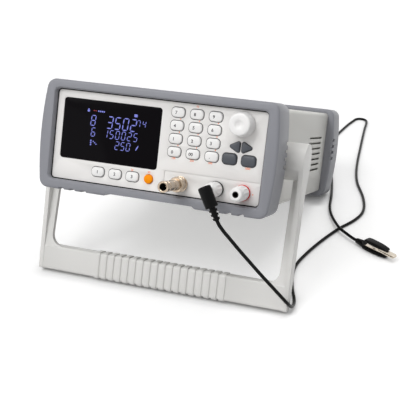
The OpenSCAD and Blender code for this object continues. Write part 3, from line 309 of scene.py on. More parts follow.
def soften(node, material, edge=0.3, corner=35, segments=2):
    """Copies a CAD node, merges its triangles, rounds its edges a little and shows it in the node's place."""
    obj = link_new(node + "_finished", frame["nodes"][node].data.copy())
    pick(obj)
    bpy.ops.mesh.customdata_custom_splitnormals_clear()
    bpy.ops.object.mode_set(mode="EDIT")
    bpy.ops.mesh.select_all(action="SELECT")
    bpy.ops.mesh.remove_doubles(threshold=MEET_WITHIN)
    bpy.ops.mesh.dissolve_limited(angle_limit=FLAT_WITHIN)
    bpy.ops.object.mode_set(mode="OBJECT")
    if edge:
        bevel = obj.modifiers.new("edges", "BEVEL")
        bevel.width = edge * MM
        bevel.segments = segments
        bevel.limit_method = "ANGLE"
        bevel.angle_limit = math.radians(corner)
        bevel.use_clamp_overlap = True
        bpy.ops.object.modifier_apply(modifier=bevel.name)
    bpy.ops.object.shade_smooth_by_angle(angle=math.radians(corner))
    dress(obj, material, body_of(node))
    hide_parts(node)
    return obj


# Shader groups and materials

# How fast patterns change to the metre: turned metal across, along and up from its axis, and slow blotches
LATHE_LINES = (60, 5200, 60)
BLOTCHES = 22


def new_group(name, inputs, outputs):
    group = bpy.data.node_groups.new(name, "ShaderNodeTree")
    for socket, kind, default in inputs:
        item = group.interface.new_socket(socket, in_out="INPUT", socket_type=kind)
        if default is not None:
            item.default_value = default
    for socket, kind in outputs:
        group.interface.new_socket(socket, in_out="OUTPUT", socket_type=kind)
    return group


def add_math(nodes, links, operation, first, second):
    node = nodes.new("ShaderNodeMath")
    node.operation = operation
    for index, value in enumerate((first, second)):
        if isinstance(value, (int, float)):
            node.inputs[index].default_value = value
        else:
            links.new(value, node.inputs[index])
    return node.outputs[0]


def moulded_surface():
    """Fine grain with slow blotches: for mouldings, rubber and powder coat."""
    name = "moulded_surface"
    if name in bpy.data.node_groups:
        return bpy.data.node_groups[name]
    group = new_group(
        name,
        [
            ("Colour", "NodeSocketColor", (0.8, 0.8, 0.8, 1)),
            ("Grain Size", "NodeSocketFloat", 0.5),
            ("Grain Tone", "NodeSocketFloat", 0.03),
            ("Blotch Tone", "NodeSocketFloat", 0.03),
            ("Roughness", "NodeSocketFloat", 0.5),
            ("Roughness Spread", "NodeSocketFloat", 0.1),
        ],
        [("Colour", "NodeSocketColor"), ("Roughness", "NodeSocketFloat"), ("Height", "NodeSocketFloat")],
    )
    nodes, links = group.nodes, group.links
    given = nodes.new("NodeGroupInput")
    result = nodes.new("NodeGroupOutput")
    place = nodes.new("ShaderNodeTexCoord")
    grain = nodes.new("ShaderNodeTexNoise")
    grain.inputs["Detail"].default_value = 3
    links.new(place.outputs["Object"], grain.inputs["Vector"])
    links.new(add_math(nodes, links, "DIVIDE", 1 / MM, given.outputs["Grain Size"]), grain.inputs["Scale"])
    blotch = nodes.new("ShaderNodeTexNoise")
    blotch.inputs["Scale"].default_value = BLOTCHES
    blotch.inputs["Detail"].default_value = 2
    links.new(place.outputs["Object"], blotch.inputs["Vector"])
    fine = add_math(nodes, links, "SUBTRACT", grain.outputs["Fac"], 0.5)
    slow = add_math(nodes, links, "SUBTRACT", blotch.outputs["Fac"], 0.5)
    fine_tone = add_math(nodes, links, "MULTIPLY", fine, given.outputs["Grain Tone"])
    slow_tone = add_math(nodes, links, "MULTIPLY", slow, given.outputs["Blotch Tone"])
    shade = add_math(nodes, links, "ADD", add_math(nodes, links, "ADD", fine_tone, slow_tone), 1)
    value = nodes.new("ShaderNodeHueSaturation")
    links.new(given.outputs["Colour"], value.inputs["Color"])
    links.new(shade, value.inputs["Value"])
    links.new(value.outputs["Color"], result.inputs["Colour"])
    spread = add_math(nodes, links, "MULTIPLY", slow, given.outputs["Roughness Spread"])
    links.new(add_math(nodes, links, "ADD", given.outputs["Roughness"], spread), result.inputs["Roughness"])
    links.new(grain.outputs["Fac"], result.inputs["Height"])
    return group


def turned_surface():
    """Fine lines round an axis that points out of the front panel, as a lathe leaves them."""
    name = "turned_surface"
    if name in bpy.data.node_groups:
        return bpy.data.node_groups[name]
    group = new_group(
        name,
        [
            ("Colour", "NodeSocketColor", (0.7, 0.7, 0.7, 1)),
            ("Roughness", "NodeSocketFloat", 0.25),
        ],
        [("Colour", "NodeSocketColor"), ("Roughness", "NodeSocketFloat"), ("Height", "NodeSocketFloat")],
    )
    nodes, links = group.nodes, group.links
    given = nodes.new("NodeGroupInput")
    result = nodes.new("NodeGroupOutput")
    place = nodes.new("ShaderNodeTexCoord")
    turn = nodes.new("ShaderNodeMapping")
    turn.inputs["Rotation"].default_value = (LEAN, 0, 0)
    links.new(place.outputs["Object"], turn.inputs["Vector"])
    stretch = nodes.new("ShaderNodeMapping")
    stretch.inputs["Scale"].default_value = LATHE_LINES
    links.new(turn.outputs["Vector"], stretch.inputs["Vector"])
    lines = nodes.new("ShaderNodeTexNoise")
    lines.inputs["Scale"].default_value = 1
    lines.inputs["Detail"].default_value = 2
    links.new(stretch.outputs["Vector"], lines.inputs["Vector"])
    centred = add_math(nodes, links, "SUBTRACT", lines.outputs["Fac"], 0.5)
    value = nodes.new("ShaderNodeHueSaturation")
    links.new(given.outputs["Colour"], value.inputs["Color"])
    shade = add_math(nodes, links, "ADD", add_math(nodes, links, "MULTIPLY", centred, 0.25), 1)
    links.new(shade, value.inputs["Value"])
    links.new(value.outputs["Color"], result.inputs["Colour"])
    rough = add_math(nodes, links, "MULTIPLY", centred, 0.25)
    links.new(add_math(nodes, links, "ADD", given.outputs["Roughness"], rough), result.inputs["Roughness"])
    links.new(lines.outputs["Fac"], result.inputs["Height"])
    return group


def new_material(name):
    material = bpy.data.materials.new(name)
    material.use_nodes = True
    return material, material.node_tree.nodes, material.node_tree.links, material.node_tree.nodes["Principled BSDF"]


def surface(name, group, colour, bump_depth, values, metallic=0.0, coat=0.0, coat_roughness=0.1, specular=0.5):
    """A material on one shader, with its colour, roughness and relief from a surface group."""
    if name in bpy.data.materials:
        return bpy.data.materials[name]
    material, nodes, links, shader = new_material(name)
    pattern = nodes.new("ShaderNodeGroup")
    pattern.node_tree = group
    pattern.inputs["Colour"].default_value = (*colour, 1)
    for socket, value in values.items():
        pattern.inputs[socket].default_value = value
    links.new(pattern.outputs["Colour"], shader.inputs["Base Color"])
    links.new(pattern.outputs["Roughness"], shader.inputs["Roughness"])
    bump = nodes.new("ShaderNodeBump")
    bump.inputs["Strength"].default_value = 0.5
    bump.inputs["Distance"].default_value = bump_depth * MM
    links.new(pattern.outputs["Height"], bump.inputs["Height"])
    links.new(bump.outputs["Normal"], shader.inputs["Normal"])
    shader.inputs["Metallic"].default_value = metallic
    shader.inputs["Coat Weight"].default_value = coat
    shader.inputs["Coat Roughness"].default_value = coat_roughness
    shader.inputs["Specular IOR Level"].default_value = specular
    return material


def moulded(name, colour, size, depth, roughness, spread=0.12, grain=0.05, blotch=0.04, **gloss):
    """A moulded or painted finish; size and depth of its grain are in millimetres."""
    values = {
        "Grain Size": size,
        "Grain Tone": grain,
        "Blotch Tone": blotch,
        "Roughness": roughness,
        "Roughness Spread": spread,
    }
    return surface(name, moulded_surface(), colour, depth, values, **gloss)


def turned(name, colour, roughness, depth=0.01):
    return surface(name, turned_surface(), colour, depth, {"Roughness": roughness}, metallic=1.0)


def colours():
    return bpy.context.scene.tester_colours


def bumper_rubber():
    return moulded("grey_elastomer", colours().bumper, size=0.35, depth=0.03, roughness=0.45, specular=0.35)


def case_coat():
    return moulded(
        "case_coat",
        colours().case,
        size=0.45,
        depth=0.02,
        roughness=0.42,
        grain=0.02,
        blotch=0.02,
    )


def panel_moulding():
    return moulded(
        "panel_moulding",
        colours().panel,
        size=0.3,
        depth=0.012,
        roughness=0.42,
        grain=0.02,
        blotch=0.015,
    )


def handle_moulding():
    return moulded(
        "handle_moulding",
        colours().handle,
        size=0.5,
        depth=0.02,
        roughness=0.4,
        grain=0.02,
        blotch=0.02,
    )


def white_moulding():
    return moulded(
        "white_moulding",
        colours().white,
        size=0.4,
        depth=0.006,
        roughness=0.36,
        grain=0.01,
        blotch=0.01,
        specular=0.3,
        coat=0.08,
    )


def slate_moulding():
    return moulded(
        "slate_moulding",
        colours().slate,
        size=0.4,
        depth=0.012,
        roughness=0.42,
        grain=0.06,
        blotch=0.04,
    )


def orange_moulding():
    return moulded(
        "orange_moulding",
        colours().orange,
        size=0.4,
        depth=0.006,
        roughness=0.4,
        grain=0.02,
        blotch=0.03,
        specular=0.08,
    )


def red_moulding():
    return moulded("red_moulding", tone(206, 14, 10), size=0.4, depth=0.006, roughness=0.35, specular=0.1)


def black_moulding():
    return moulded(
        "black_moulding",
        tone(26, 26, 28),
        size=0.4,
        depth=0.012,
        roughness=0.38,
        grain=0.1,
        specular=0.15,
    )


def lead_vinyl():
    return moulded(
        "lead_vinyl",
        tone(9, 9, 10),
        size=0.6,
        depth=0.012,
        roughness=0.26,
        spread=0.1,
        grain=0.15,
        specular=0.09,
    )


def window_gloss():
    return moulded(
        "window_gloss",
        tone(12, 10, 13),
        size=1.2,
        depth=0.002,
        roughness=0.12,
        spread=0.05,
        grain=0.2,
        specular=0.03,
    )


def display_glass():
    return moulded("display_glass", tone(70, 76, 92), size=1.0, depth=0.002, roughness=0.1, coat=0.5)


def board_mask():
    return moulded("board_mask", tone(28, 92, 58), size=0.8, depth=0.02, roughness=0.35, grain=0.2, coat=0.4)


def core_iron():
    return moulded(
        "core_iron",
        tone(96, 92, 88),
        size=0.7,
        depth=0.06,
        roughness=0.5,
        grain=0.25,
        metallic=0.6,
    )


def plated_steel():
    return moulded(
        "plated_steel",
        tone(196, 196, 198),
        size=0.5,
        depth=0.006,
        roughness=0.3,
        grain=0.08,
        metallic=1.0,
    )


def warm_nickel():
    return turned("warm_nickel", colours().nickel, roughness=0.2)


def clip_nickel():
    return moulded(
        "clip_nickel",
        tone(214, 204, 190),
        size=0.6,
        depth=0.01,
        roughness=0.24,
        grain=0.1,
        metallic=1.0,
    )


# Black that stands for shade: in the holes of the sockets and along the panel's edge
def socket_black():
    return moulded("socket_black", tone(8, 8, 8), size=0.5, depth=0.01, roughness=0.5, specular=0.1)


def print_ink(name, colour):
    return moulded(name, colour, size=0.2, depth=0.004, roughness=0.5, grain=0.1)


def lit_segments():
    """Ink-like glow of the display: its own light adds to the colour."""
    name = "lit_segments"
    if name in bpy.data.materials:
        return bpy.data.materials[name]
    material = moulded(name, colours().display, size=0.15, depth=0.002, roughness=0.4, grain=0.25)
    shader = material.node_tree.nodes["Principled BSDF"]
    shader.inputs["Emission Color"].default_value = (*colours().display, 1)
    shader.inputs["Emission Strength"].default_value = 0.25
    return material


# Camera and lead

# The lead's route on the table, in metres: out of the plug, round the bail's foot, a loop behind, and over itself
LEAD_WAY = [
    (0.0803, -0.1797, 0.1045), (0.086, -0.1741, 0.0932), (0.094, -0.168, 0.0792), (0.102, -0.162, 0.0658),
    (0.11, -0.1559, 0.0524), (0.1181, -0.1498, 0.0394), (0.1261, -0.1443, 0.027), (0.1331, -0.1395, 0.0162),
    (0.1353, -0.1309, 0.0078), (0.1354, -0.1214, 0.0039), (0.1333, -0.1083, 0.0017), (0.1265, -0.088, 0.0017),
    (0.1205, -0.064, 0.0017), (0.1185, -0.04, 0.0017), (0.1215, -0.0175, 0.0017), (0.1305, 0.019, 0.0017),
    (0.144, 0.0595, 0.0017), (0.158, 0.0905, 0.0017), (0.163, 0.117, 0.0017), (0.157, 0.1535, 0.0017),
    (0.141, 0.2015, 0.0017), (0.132, 0.25, 0.0017), (0.1235, 0.332, 0.0017), (0.1175, 0.398, 0.0017),
    (0.115, 0.431, 0.0017), (0.1118, 0.4402, 0.0017), (0.105, 0.4436, 0.0017), (0.0983, 0.4404, 0.0017),
    (0.0953, 0.4315, 0.0017), (0.089, 0.4015, 0.0017), (0.0825, 0.347, 0.0017), (0.0855, 0.299, 0.0017),
    (0.0955, 0.25, 0.0017), (0.108, 0.2015, 0.0017), (0.1175, 0.1535, 0.0017), (0.126, 0.103, 0.003),
    (0.144, 0.0595, 0.0053), (0.157, 0.0445, 0.005),
]
CLIP_PIN = Vector(JOINTS["clip_open"]["pos_m"])
CLIP_AXIS = Vector(JOINTS["clip_open"]["axis"])
CLIP_WAY = Vector((-CLIP_AXIS.y, CLIP_AXIS.x, 0)).normalized()
# The clip's sleeve takes the lead this far behind the pin, at this height
CLIP_TAIL = 0.031
CLIP_END_Z = 0.0044
# Handles of the lead's knots, as a share of the way to the next knot; the first is longer, for a rounder start
HANDLE_SHARE = 0.35
START_SHARE = 0.45


class TESTER_OT_camera(bpy.types.Operator):
    """Stands the camera where the photograph was taken"""

    bl_idname = "tester.camera"
    bl_label = "Camera"

    def execute(self, context):
        view = context.scene.tester_camera
        place, aim = Vector(view.place), Vector(view.aim)
        turn = (aim - place).to_track_quat("-Z", "Y") @ Quaternion((0, 0, 1), view.roll)
        bpy.ops.object.camera_add(location=place, rotation=turn.to_euler())
        camera = context.active_object
        camera.name = "photo_camera"
        camera.data.lens = view.lens
        camera.data.sensor_width = 36
        camera.data.clip_start = 0.05
        context.scene.camera = camera
        return {"FINISHED"}


def lead_points():
    """The whole route, from the mouth of the plug's strain relief to the clip's sleeve."""
    plug_way = math.sin(PLUG_TURN) * RIGHT - math.cos(PLUG_TURN) * UP
    mouth = panel_point(BLACK_X, TERMINAL_Z, PLUG_OUT) + RELIEF_REACH * MM * plug_way
    sleeve = Vector((CLIP_PIN.x, CLIP_PIN.y, CLIP_END_Z)) - CLIP_TAIL * CLIP_WAY
    return [mouth, *(Vector(p) for p in LEAD_WAY), sleeve], plug_way


def on_table(point, thickness):
    """Lifts a point of the lead's centreline so that the lead doesn't dip below the table."""
    return Vector((point.x, point.y, max(point.z, thickness / 2)))


class TESTER_OT_lead(bpy.types.Operator):
    """Lays the test lead from its plug to its clip, and finishes the pieces on it"""

    bl_idname = "tester.lead"
    bl_label = "Test lead"

    def execute(self, context):
        size = context.scene.tester_lead
        points, plug_way = lead_points()
        last = len(points) - 1
        line = bpy.data.curves.new("test_lead_tube", "CURVE")
        line.dimensions = "3D"
        line.resolution_u = 10
        line.bevel_depth = size.diameter / 2
        line.bevel_resolution = 5
        spline = line.splines.new("BEZIER")
        spline.bezier_points.add(last)
        for i, knot in enumerate(spline.bezier_points):
            here, before, after = points[i], points[max(i - 1, 0)], points[min(i + 1, last)]
            way = (after - before).normalized()
            if i == 0:
                way = plug_way
            if i == last:
                way = CLIP_WAY
            knot.co = here
            share = HANDLE_SHARE if i else START_SHARE
            knot.handle_left = on_table(here - HANDLE_SHARE * (here - before).length * way, size.diameter)
            knot.handle_right = on_table(here + share * (after - here).length * way, size.diameter)
        lead = link_new("test_lead_tube", line)
        dress(lead, lead_vinyl(), ROOT)
        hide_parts("test_lead")
        pieces = [
            soften("plug_body", lead_vinyl(), edge=0.9, corner=30, segments=4),
            soften("clip_lower_shell", lead_vinyl(), edge=0, corner=60),
            soften("clip_upper_shell", lead_vinyl(), edge=0, corner=60),
            soften("clip_lower_jaw", clip_nickel(), edge=0.08),
            soften("clip_upper_jaw", clip_nickel(), edge=0.08),
        ]
        spring = soften("clip_spring", plated_steel(), edge=0)
        self.bend_with_jaw(spring)
        paint(clip_nickel(), "plug_pin")
        return {"FINISHED"}

    @staticmethod
    def bend_with_jaw(spring):
        """Takes the spring off its body and moves its place into its mesh, so that it rides on neither jaw.
        """
        # a piece that bends between two bodies rides on neither
        spring.parent = None
        del spring["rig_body"]
        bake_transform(spring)


# Bumpers, case and handle


class TESTER_OT_bumpers(bpy.types.Operator):
    """Finishes both rubber bumpers"""

    bl_idname = "tester.bumpers"
    bl_label = "Bumpers"

    def execute(self, context):
        for node in ("front_bumper", "rear_bumper"):
            soften(node, bumper_rubber(), edge=0.45, corner=38)
        return {"FINISHED"}


class TESTER_OT_case(bpy.types.Operator):
    """Finishes the sheet metal of the case and the pieces on its rear"""

    bl_idname = "tester.case"
    bl_label = "Case and rear"

    def execute(self, context):
        soften("top_cover", case_coat(), edge=0.2, corner=50)
        soften("bottom_cover", case_coat(), edge=0.2, corner=50)
        soften("rear_panel", case_coat(), edge=0.15, corner=50)
        soften("mains_inlet", black_moulding(), edge=0.25)
        soften("fuse_drawer", black_moulding(), edge=0.2)
        soften("power_rocker", black_moulding(), edge=0.3)
        soften("rear_ports", plated_steel(), edge=0.15)
        paint(plated_steel(), "cover_screws", "fuse", "pivot_bolts")
        return {"FINISHED"}


class TESTER_OT_handle(bpy.types.Operator):
    """Finishes the bail handle and its detent discs"""

    bl_idname = "tester.handle"
    bl_label = "Handle"

    def execute(self, context):
        soften("handle", handle_moulding(), edge=0.3, corner=32)
        soften("detent_discs", handle_moulding(), edge=0.2)
        return {"FINISHED"}


# Front panel


def outline(width, height, corner, line):
    """A flat rounded ring drawn in x and y; its inner edge has the given size."""
    deselect()
    bpy.ops.mesh.primitive_plane_add(size=1)
    obj = bpy.context.active_object
    obj.scale = ((width + 2 * line) * MM, (height + 2 * line) * MM, 1)
    bpy.ops.object.transform_apply(location=False, rotation=False, scale=True)
    bpy.ops.object.mode_set(mode="EDIT")
    bpy.ops.mesh.select_all(action="SELECT")
    bpy.ops.mesh.bevel(affect="VERTICES", offset=(corner + line) * MM, segments=6)
    bpy.ops.object.mode_set(mode="OBJECT")
    return ring(obj, line)


def ring(obj, line):
    """Cuts the middle out of a flat face and leaves a line along its edge."""
    pick(obj)
    bpy.ops.object.mode_set(mode="EDIT")
    bpy.ops.mesh.select_all(action="SELECT")
    bpy.ops.mesh.inset(thickness=line * MM)
    bpy.ops.mesh.delete(type="FACE")
    bpy.ops.object.mode_set(mode="OBJECT")
    return obj


def wrapped(circles, grow, steps=48):
    """Corners of a band stretched round these circles, each one across, up and radius."""
    turns = [math.tau * step / steps for step in range(steps)]
    points = sorted(
        (x + (radius + grow) * math.cos(turn), y + (radius + grow) * math.sin(turn))
        for x, y, radius in circles
        for turn in turns
    )
    corners = []
    for row in (points, points[::-1]):
        side = []
        for x, y in row:
            while len(side) > 1:
                (ax, ay), (bx, by) = side[-2:]
                if (bx - ax) * (y - ay) - (by - ay) * (x - ax) > 1e-9:
                    break
                side.pop()
            side.append((x, y))
        corners += side[:-1]
    return corners


def arrow_outline(side, gap, line):
    """A flat ring round an arrow key; side mirrors it."""
    corners = wrapped([(side * x, y, radius) for x, y, radius in ARROW_CORNERS], gap + line)
    mesh = bpy.data.meshes.new("arrow_outline")
    mesh.from_pydata([(x * MM, y * MM, 0) for x, y in corners], [], [range(len(corners))])
    return ring(link_new("arrow_outline", mesh), line)


def outline_copy(obj, x, z):
    """Another outline like this one, with its own mesh, laid round a key."""
    copy = link_new(obj.name, obj.data.copy())
    copy.matrix_world = panel_matrix(x, z, KEY_SHADE_OUT)
    return copy


class TESTER_OT_panel(bpy.types.Operator):
    """Finishes the front panel, the terminal plate and the window, and lays a black ring of painted shade along the
    panel's edge
    """

    bl_idname = "tester.panel"
    bl_label = "Front panel"

    def execute(self, context):
        soften("front_panel", panel_moulding(), edge=0.15, corner=50)
        soften("terminal_plate", panel_moulding(), edge=0.12, corner=50)
        soften("display_window", window_gloss(), edge=0.3, corner=50)
        paint(display_glass(), "display_module")
        paint(board_mask(), "keypad_board", "main_board")
        paint(plated_steel(), "encoder_body", "encoder_shaft")
        paint(core_iron(), "transformer")
        # A black ring of painted shade along the panel's edge, where it meets the bumper
        width, height = (side - 2 * OPENING_GAP for side in OPENING)
        gap = outline(width, height, OPENING_CORNER, OPENING_GAP)
        gap.matrix_world = panel_matrix(0, 0, GAP_OUT)
        dress(settle(gap, "panel_gap"), socket_black(), ROOT)
        return {"FINISHED"}


# A font's size over the height of its figures
SIZE_OF_HEIGHT = 1.38
# Segments of a figure: middle across and up in figure widths and half heights, and whether it stands
SEGMENTS = {
    "top": (0, 1, False),
    "upper_left": (-0.5, 0.5, True),
    "upper_right": (0.5, 0.5, True),
    "middle": (0, 0, False),
    "lower_left": (-0.5, -0.5, True),
    "lower_right": (0.5, -0.5, True),
    "bottom": (0, -1, False),
}
FIGURES = {
    "0": ("top", "upper_left", "upper_right", "lower_left", "lower_right", "bottom"),
    "1": ("upper_right", "lower_right"),
    "2": ("top", "upper_right", "middle", "lower_left", "bottom"),
    "3": ("top", "upper_right", "middle", "lower_right", "bottom"),
    "4": ("upper_left", "upper_right", "middle", "lower_right"),
    "5": ("top", "upper_left", "middle", "lower_right", "bottom"),
    "6": ("top", "upper_left", "middle", "lower_left", "lower_right", "bottom"),
    "7": ("top", "upper_right", "lower_right"),
    "8": tuple(SEGMENTS),
    "9": ("top", "upper_left", "upper_right", "middle", "lower_right", "bottom"),
}
SLANT = 0.1
# Sizes of a figure's bars, as shares of its height or width
FIGURE_WIDTH = 0.46
BAR_THICKNESS = 0.09
STANDING_BAR = 0.47
LYING_BAR = 0.96
# Lit figures: text, middle of the first one across and up, height, pitch, all in millimetres
DISPLAY_LINES = [
    ("8", -65.6, 16.4, 9.4, 0),
    ("3502", -48.2, 16.2, 11, 8),
    ("74", -19.2, 18.4, 6, 5.6),
    ("6", -64.6, 5.4, 8, 0),
    ("150025", -51.6, 5.2, 7.6, 6.1),
    ("250", -39, -4.6, 7.4, 5.7),
]
# Small signs over the figures and beside the last line: first bar across and up, length, thickness, turn,
# then how many there are and the step from one to the next
SIGNS = [
    (-71.3, 25.2, 2.8, 2.2, 0, 1, 0, 0),
    (-71.3, 26.3, 1.6, 1.8, math.pi / 2, 1, 0, 0),
    (-61, 25.6, 1.7, 1.5, math.pi / 2, 4, 1.9, 0),
    (-22.7, 24.7, 4, 1, 0, 3, 0, 0.8),
    (-66.2, -2.9, 1.8, 1.4, math.pi / 2, 3, 0, -1.9),
    (-63.6, -3.4, 1.4, 1, 0.6, 3, 1.5, -1.2),
    (-18.6, -4.6, 6, 1.1, 1.1, 1, 0, 0),
]


def bar(x, z, length, thickness, turn):
    """One lit bar on the window, with pointed ends."""
    bpy.ops.mesh.primitive_circle_add(vertices=6, radius=1, fill_type="NGON")
    obj = bpy.context.active_object
    obj.scale = (length / 2 * MM, thickness / math.sqrt(3) * MM, MM)
    bpy.ops.object.transform_apply(location=False, rotation=False, scale=True)
    obj.matrix_world = panel_matrix(x, z, PRINT_OUT) @ Matrix.Rotation(turn, 4, "Z")
    return obj


def figures(text, first, z, height, pitch):
    """Bars of seven-segment figures in a row."""
    width = height * FIGURE_WIDTH
    thickness = height * BAR_THICKNESS
    stand = math.pi / 2 - math.atan(SLANT)
    bars = []
    for index, character in enumerate(text):
        middle = first + index * pitch
        for part in FIGURES[character]:
            across, up, stands = SEGMENTS[part]
            rise = up * height / 2
            length = height * STANDING_BAR if stands else width * LYING_BAR
            x = middle + across * width + SLANT * rise
            bars.append(bar(x, z + rise, length, thickness, stand if stands else 0))
    return bars


class TESTER_OT_display(bpy.types.Operator):
    """Lights the figures and signs of the display"""

    bl_idname = "tester.display"
    bl_label = "Display"

    def execute(self, context):
        deselect()
        bars = []
        for line in DISPLAY_LINES:
            bars += figures(*line)
        for x, z, length, thickness, turn, count, step_x, step_z in SIGNS:
            bars += [bar(x + step_x * i, z + step_z * i, length, thickness, turn) for i in range(count)]
        lit = join(bars, "display_figures")
        dress(lit, lit_segments(), ROOT)
        red = join([bar(-65.6 + 1.9 * i, 25.7, 1.7, 0.8, 0) for i in range(2)], "display_red_dashes")
        dress(red, print_ink("red_segments", tone(150, 34, 40)), ROOT)
        return {"FINISHED"}


def printed(name, text, place, height, bold, ink, body, slot):
    """Printed figures on a face that looks out of the panel; place is across, up and out."""
    bpy.ops.object.text_add()
    obj = bpy.context.active_object
    obj.data.body = text
    obj.data.size = height * MM * SIZE_OF_HEIGHT
    obj.data.align_x = "CENTER"
    obj.data.align_y = "CENTER"
    obj.data.offset = bold * MM
    obj.data.resolution_u = 3
    pick(obj)
    bpy.ops.object.convert(target="MESH")
    obj = bpy.context.active_object
    obj.matrix_world = panel_matrix(*place)
    return dress(settle(obj, name), ink, body)


# Figures on the keypad by row and column, and how they stand on a key: height, boldness, and off its middle
KEY_FIGURES = (("7", "8", "9"), ("4", "5", "6"), ("1", "2", "3"), ("0", "00", "."))
KEY_FIGURE = (3, 0.11)
KEY_FIGURE_OFF = (-1.6, -0.4)
SIDES = ("left", "middle", "right")


class TESTER_OT_keys(bpy.types.Operator):
    """Finishes the keys, prints plain figures on the white ones and lays dark rings of painted shade round them"""

    bl_idname = "tester.keys"
    bl_label = "Keys"

    def execute(self, context):
        for row, z in enumerate(KEY_ROWS):
            for column, x in enumerate(KEY_COLUMNS):
                place = (x + KEY_FIGURE_OFF[0], z + KEY_FIGURE_OFF[1])
                self.key(f"key_row{row + 1}_{SIDES[column]}", KEY_FIGURES[row][column], place)
        for column, x in enumerate(MENU_COLUMNS):
            self.key(f"menu_key_{SIDES[column]}", str(column + 1), (x, MENU_ROW))
        for node in ("arrow_key_left", "arrow_key_right", "cancel_key", "confirm_key"):
            soften(node, slate_moulding(), edge=0.25, corner=30)
        soften("start_button", orange_moulding(), edge=0.15, corner=60)
        self.gap_shades()
        return {"FINISHED"}

    @staticmethod
    def key(node, text, place):
        """A white key and the figure printed on it."""
        soften(node, white_moulding(), edge=0.2, corner=30)
        name = "figure_" + node.replace("key_", "")
        ink = print_ink("black_ink", tone(34, 34, 36))
        printed(name, text, (*place, KEY_PROUD + PRINT_OUT), *KEY_FIGURE, ink, body_of(node), "black_plastic")

    @staticmethod
    def gap_shades():
        """Dark rings of painted shade in the gaps round the keys."""
        gap_shades = []
        white_keys = [(x, z) for z in KEY_ROWS for x in KEY_COLUMNS] + [(x, MENU_ROW) for x in MENU_COLUMNS]
        for size, places in ((KEY_SIZE, white_keys), (SLATE_SIZE, SLATE_KEYS)):
            width, height = (side + 2 * KEY_SHADE_GAP for side in size)
            pattern = outline(width, height, KEY_CORNER, KEY_SHADE_LINE)
            gap_shades += [outline_copy(pattern, x, z) for x, z in places]
            bpy.data.objects.remove(pattern)
        for x, z, side in ARROW_KEYS:
            arrow = arrow_outline(side, KEY_SHADE_GAP, KEY_SHADE_LINE)
            arrow.matrix_world = panel_matrix(x, z, KEY_SHADE_OUT)
            gap_shades.append(arrow)
        dress(join(gap_shades, "key_seals"), print_ink("seal_rubber", tone(22, 22, 24)), ROOT)


# Orange print on the panel: height and boldness of its figures, radius of a dot and its place from a key
ORANGE_FIGURE = (1.9, 0.06)
DOT_RADIUS = 0.55
DOT_OFF = (2.8, -5.9)
# The dot beside the red post: off the post's middle, and how far the terminal plate is sunk
POST_DOT_OFF = (9.6, -0.4)
PLATE_OUT = -0.47
# Text, across, up
ORANGE_FIGURES = [
    ("10", 36.7, 40.6),
    ("100", 18.6, -9.2),
    ("250", 36.6, -9.2),
    ("500", 54.6, -9.2),
    ("25", -21, -25.3),
    ("50", -4, -25.3),
    ("1000", 90, -9.7),
]


class TESTER_OT_print(bpy.types.Operator):
    """Prints small orange figures and dots on the panel"""

    bl_idname = "tester.print"
    bl_label = "Panel print"

    def execute(self, context):
        ink = print_ink("orange_ink", tone(244, 128, 62))
        for index, (text, x, z) in enumerate(ORANGE_FIGURES):
            name = f"panel_figure_{index + 1}"
            printed(name, text, (x, z, PRINT_OUT), *ORANGE_FIGURE, ink, ROOT, "orange_plastic")
        deselect()
        dots = [self.dot(x + DOT_OFF[0], z + DOT_OFF[1], PRINT_OUT) for z in KEY_ROWS[:3] for x in KEY_COLUMNS]
        dots.append(self.dot(RED_X + POST_DOT_OFF[0], TERMINAL_Z + POST_DOT_OFF[1], PLATE_OUT))
        dress(join(dots, "panel_dots"), ink, ROOT)
        return {"FINISHED"}

    @staticmethod
    def dot(x, z, out):
        bpy.ops.mesh.primitive_circle_add(vertices=12, radius=DOT_RADIUS * MM, fill_type="NGON")
        obj = bpy.context.active_object
        obj.matrix_world = panel_matrix(x, z, out)
        return obj


# Knob and terminals

# Radii between which a hole's walls are painted black as shade, in millimetres
ADAPTER_BORE = (1.3, 3.25)
STUD_BORE = (0, 2.95)
LOOKS_AWAY = 0.0002


class TESTER_OT_knob(bpy.types.Operator):
    """Finishes the rotary knob"""

    bl_idname = "tester.knob"
    bl_label = "Knob"

    def execute(self, context):
        soften("knob", white_moulding(), edge=0.35, corner=34, segments=3)
        return {"FINISHED"}


def across_panel(arm):
    """The part of this vector that lies along the panel's face."""
    return arm - arm.dot(BACK) * BACK


def paint_bore_shade(obj, x, inner, outer):
    """Paints shade in black on the walls and steps of a socket's hole, but not on a pin in it.

    These faces lie between the two radii and in front of the panel, and don't look away from the hole's axis.
    """
    obj.data.materials.append(socket_black())
    slot = len(obj.data.materials) - 1
    middle = panel_point(x, TERMINAL_Z)
    for face in obj.data.polygons:
        arms = [obj.data.vertices[i].co - middle for i in face.vertices]
        reach = max(across_panel(arm).length for arm in arms) / MM
        outwards = face.normal.dot(across_panel(face.center - middle))
        if inner < reach < outer and outwards < LOOKS_AWAY and arms[0].dot(BACK) < 0:
            face.material_index = slot


class TESTER_OT_terminals(bpy.types.Operator):
    """Finishes the coaxial output and the binding posts, and paints shade in their holes"""

    bl_idname = "tester.terminals"
    bl_label = "Terminals"

    def execute(self, context):
        soften("coax_jack", warm_nickel(), edge=0.2)
        soften("coax_ring", warm_nickel(), edge=0.12)
        adapter = soften("coax_adapter", warm_nickel(), edge=0.12)
        studs = soften("post_studs", clip_nickel(), edge=0)
        soften("black_post_base", black_moulding(), edge=0.2)
        soften("red_post_base", red_moulding(), edge=0.2)
        for node in ("black_post_cap", "red_post_cap"):
            soften(node, white_moulding(), edge=0.3, corner=34)
        # Painted shade: the walls of the holes are black
        paint_bore_shade(adapter, COAX_X, *ADAPTER_BORE)
        for x in (RED_X, BLACK_X):
            paint_bore_shade(studs, x, *STUD_BORE)
        return {"FINISHED"}


# Stage

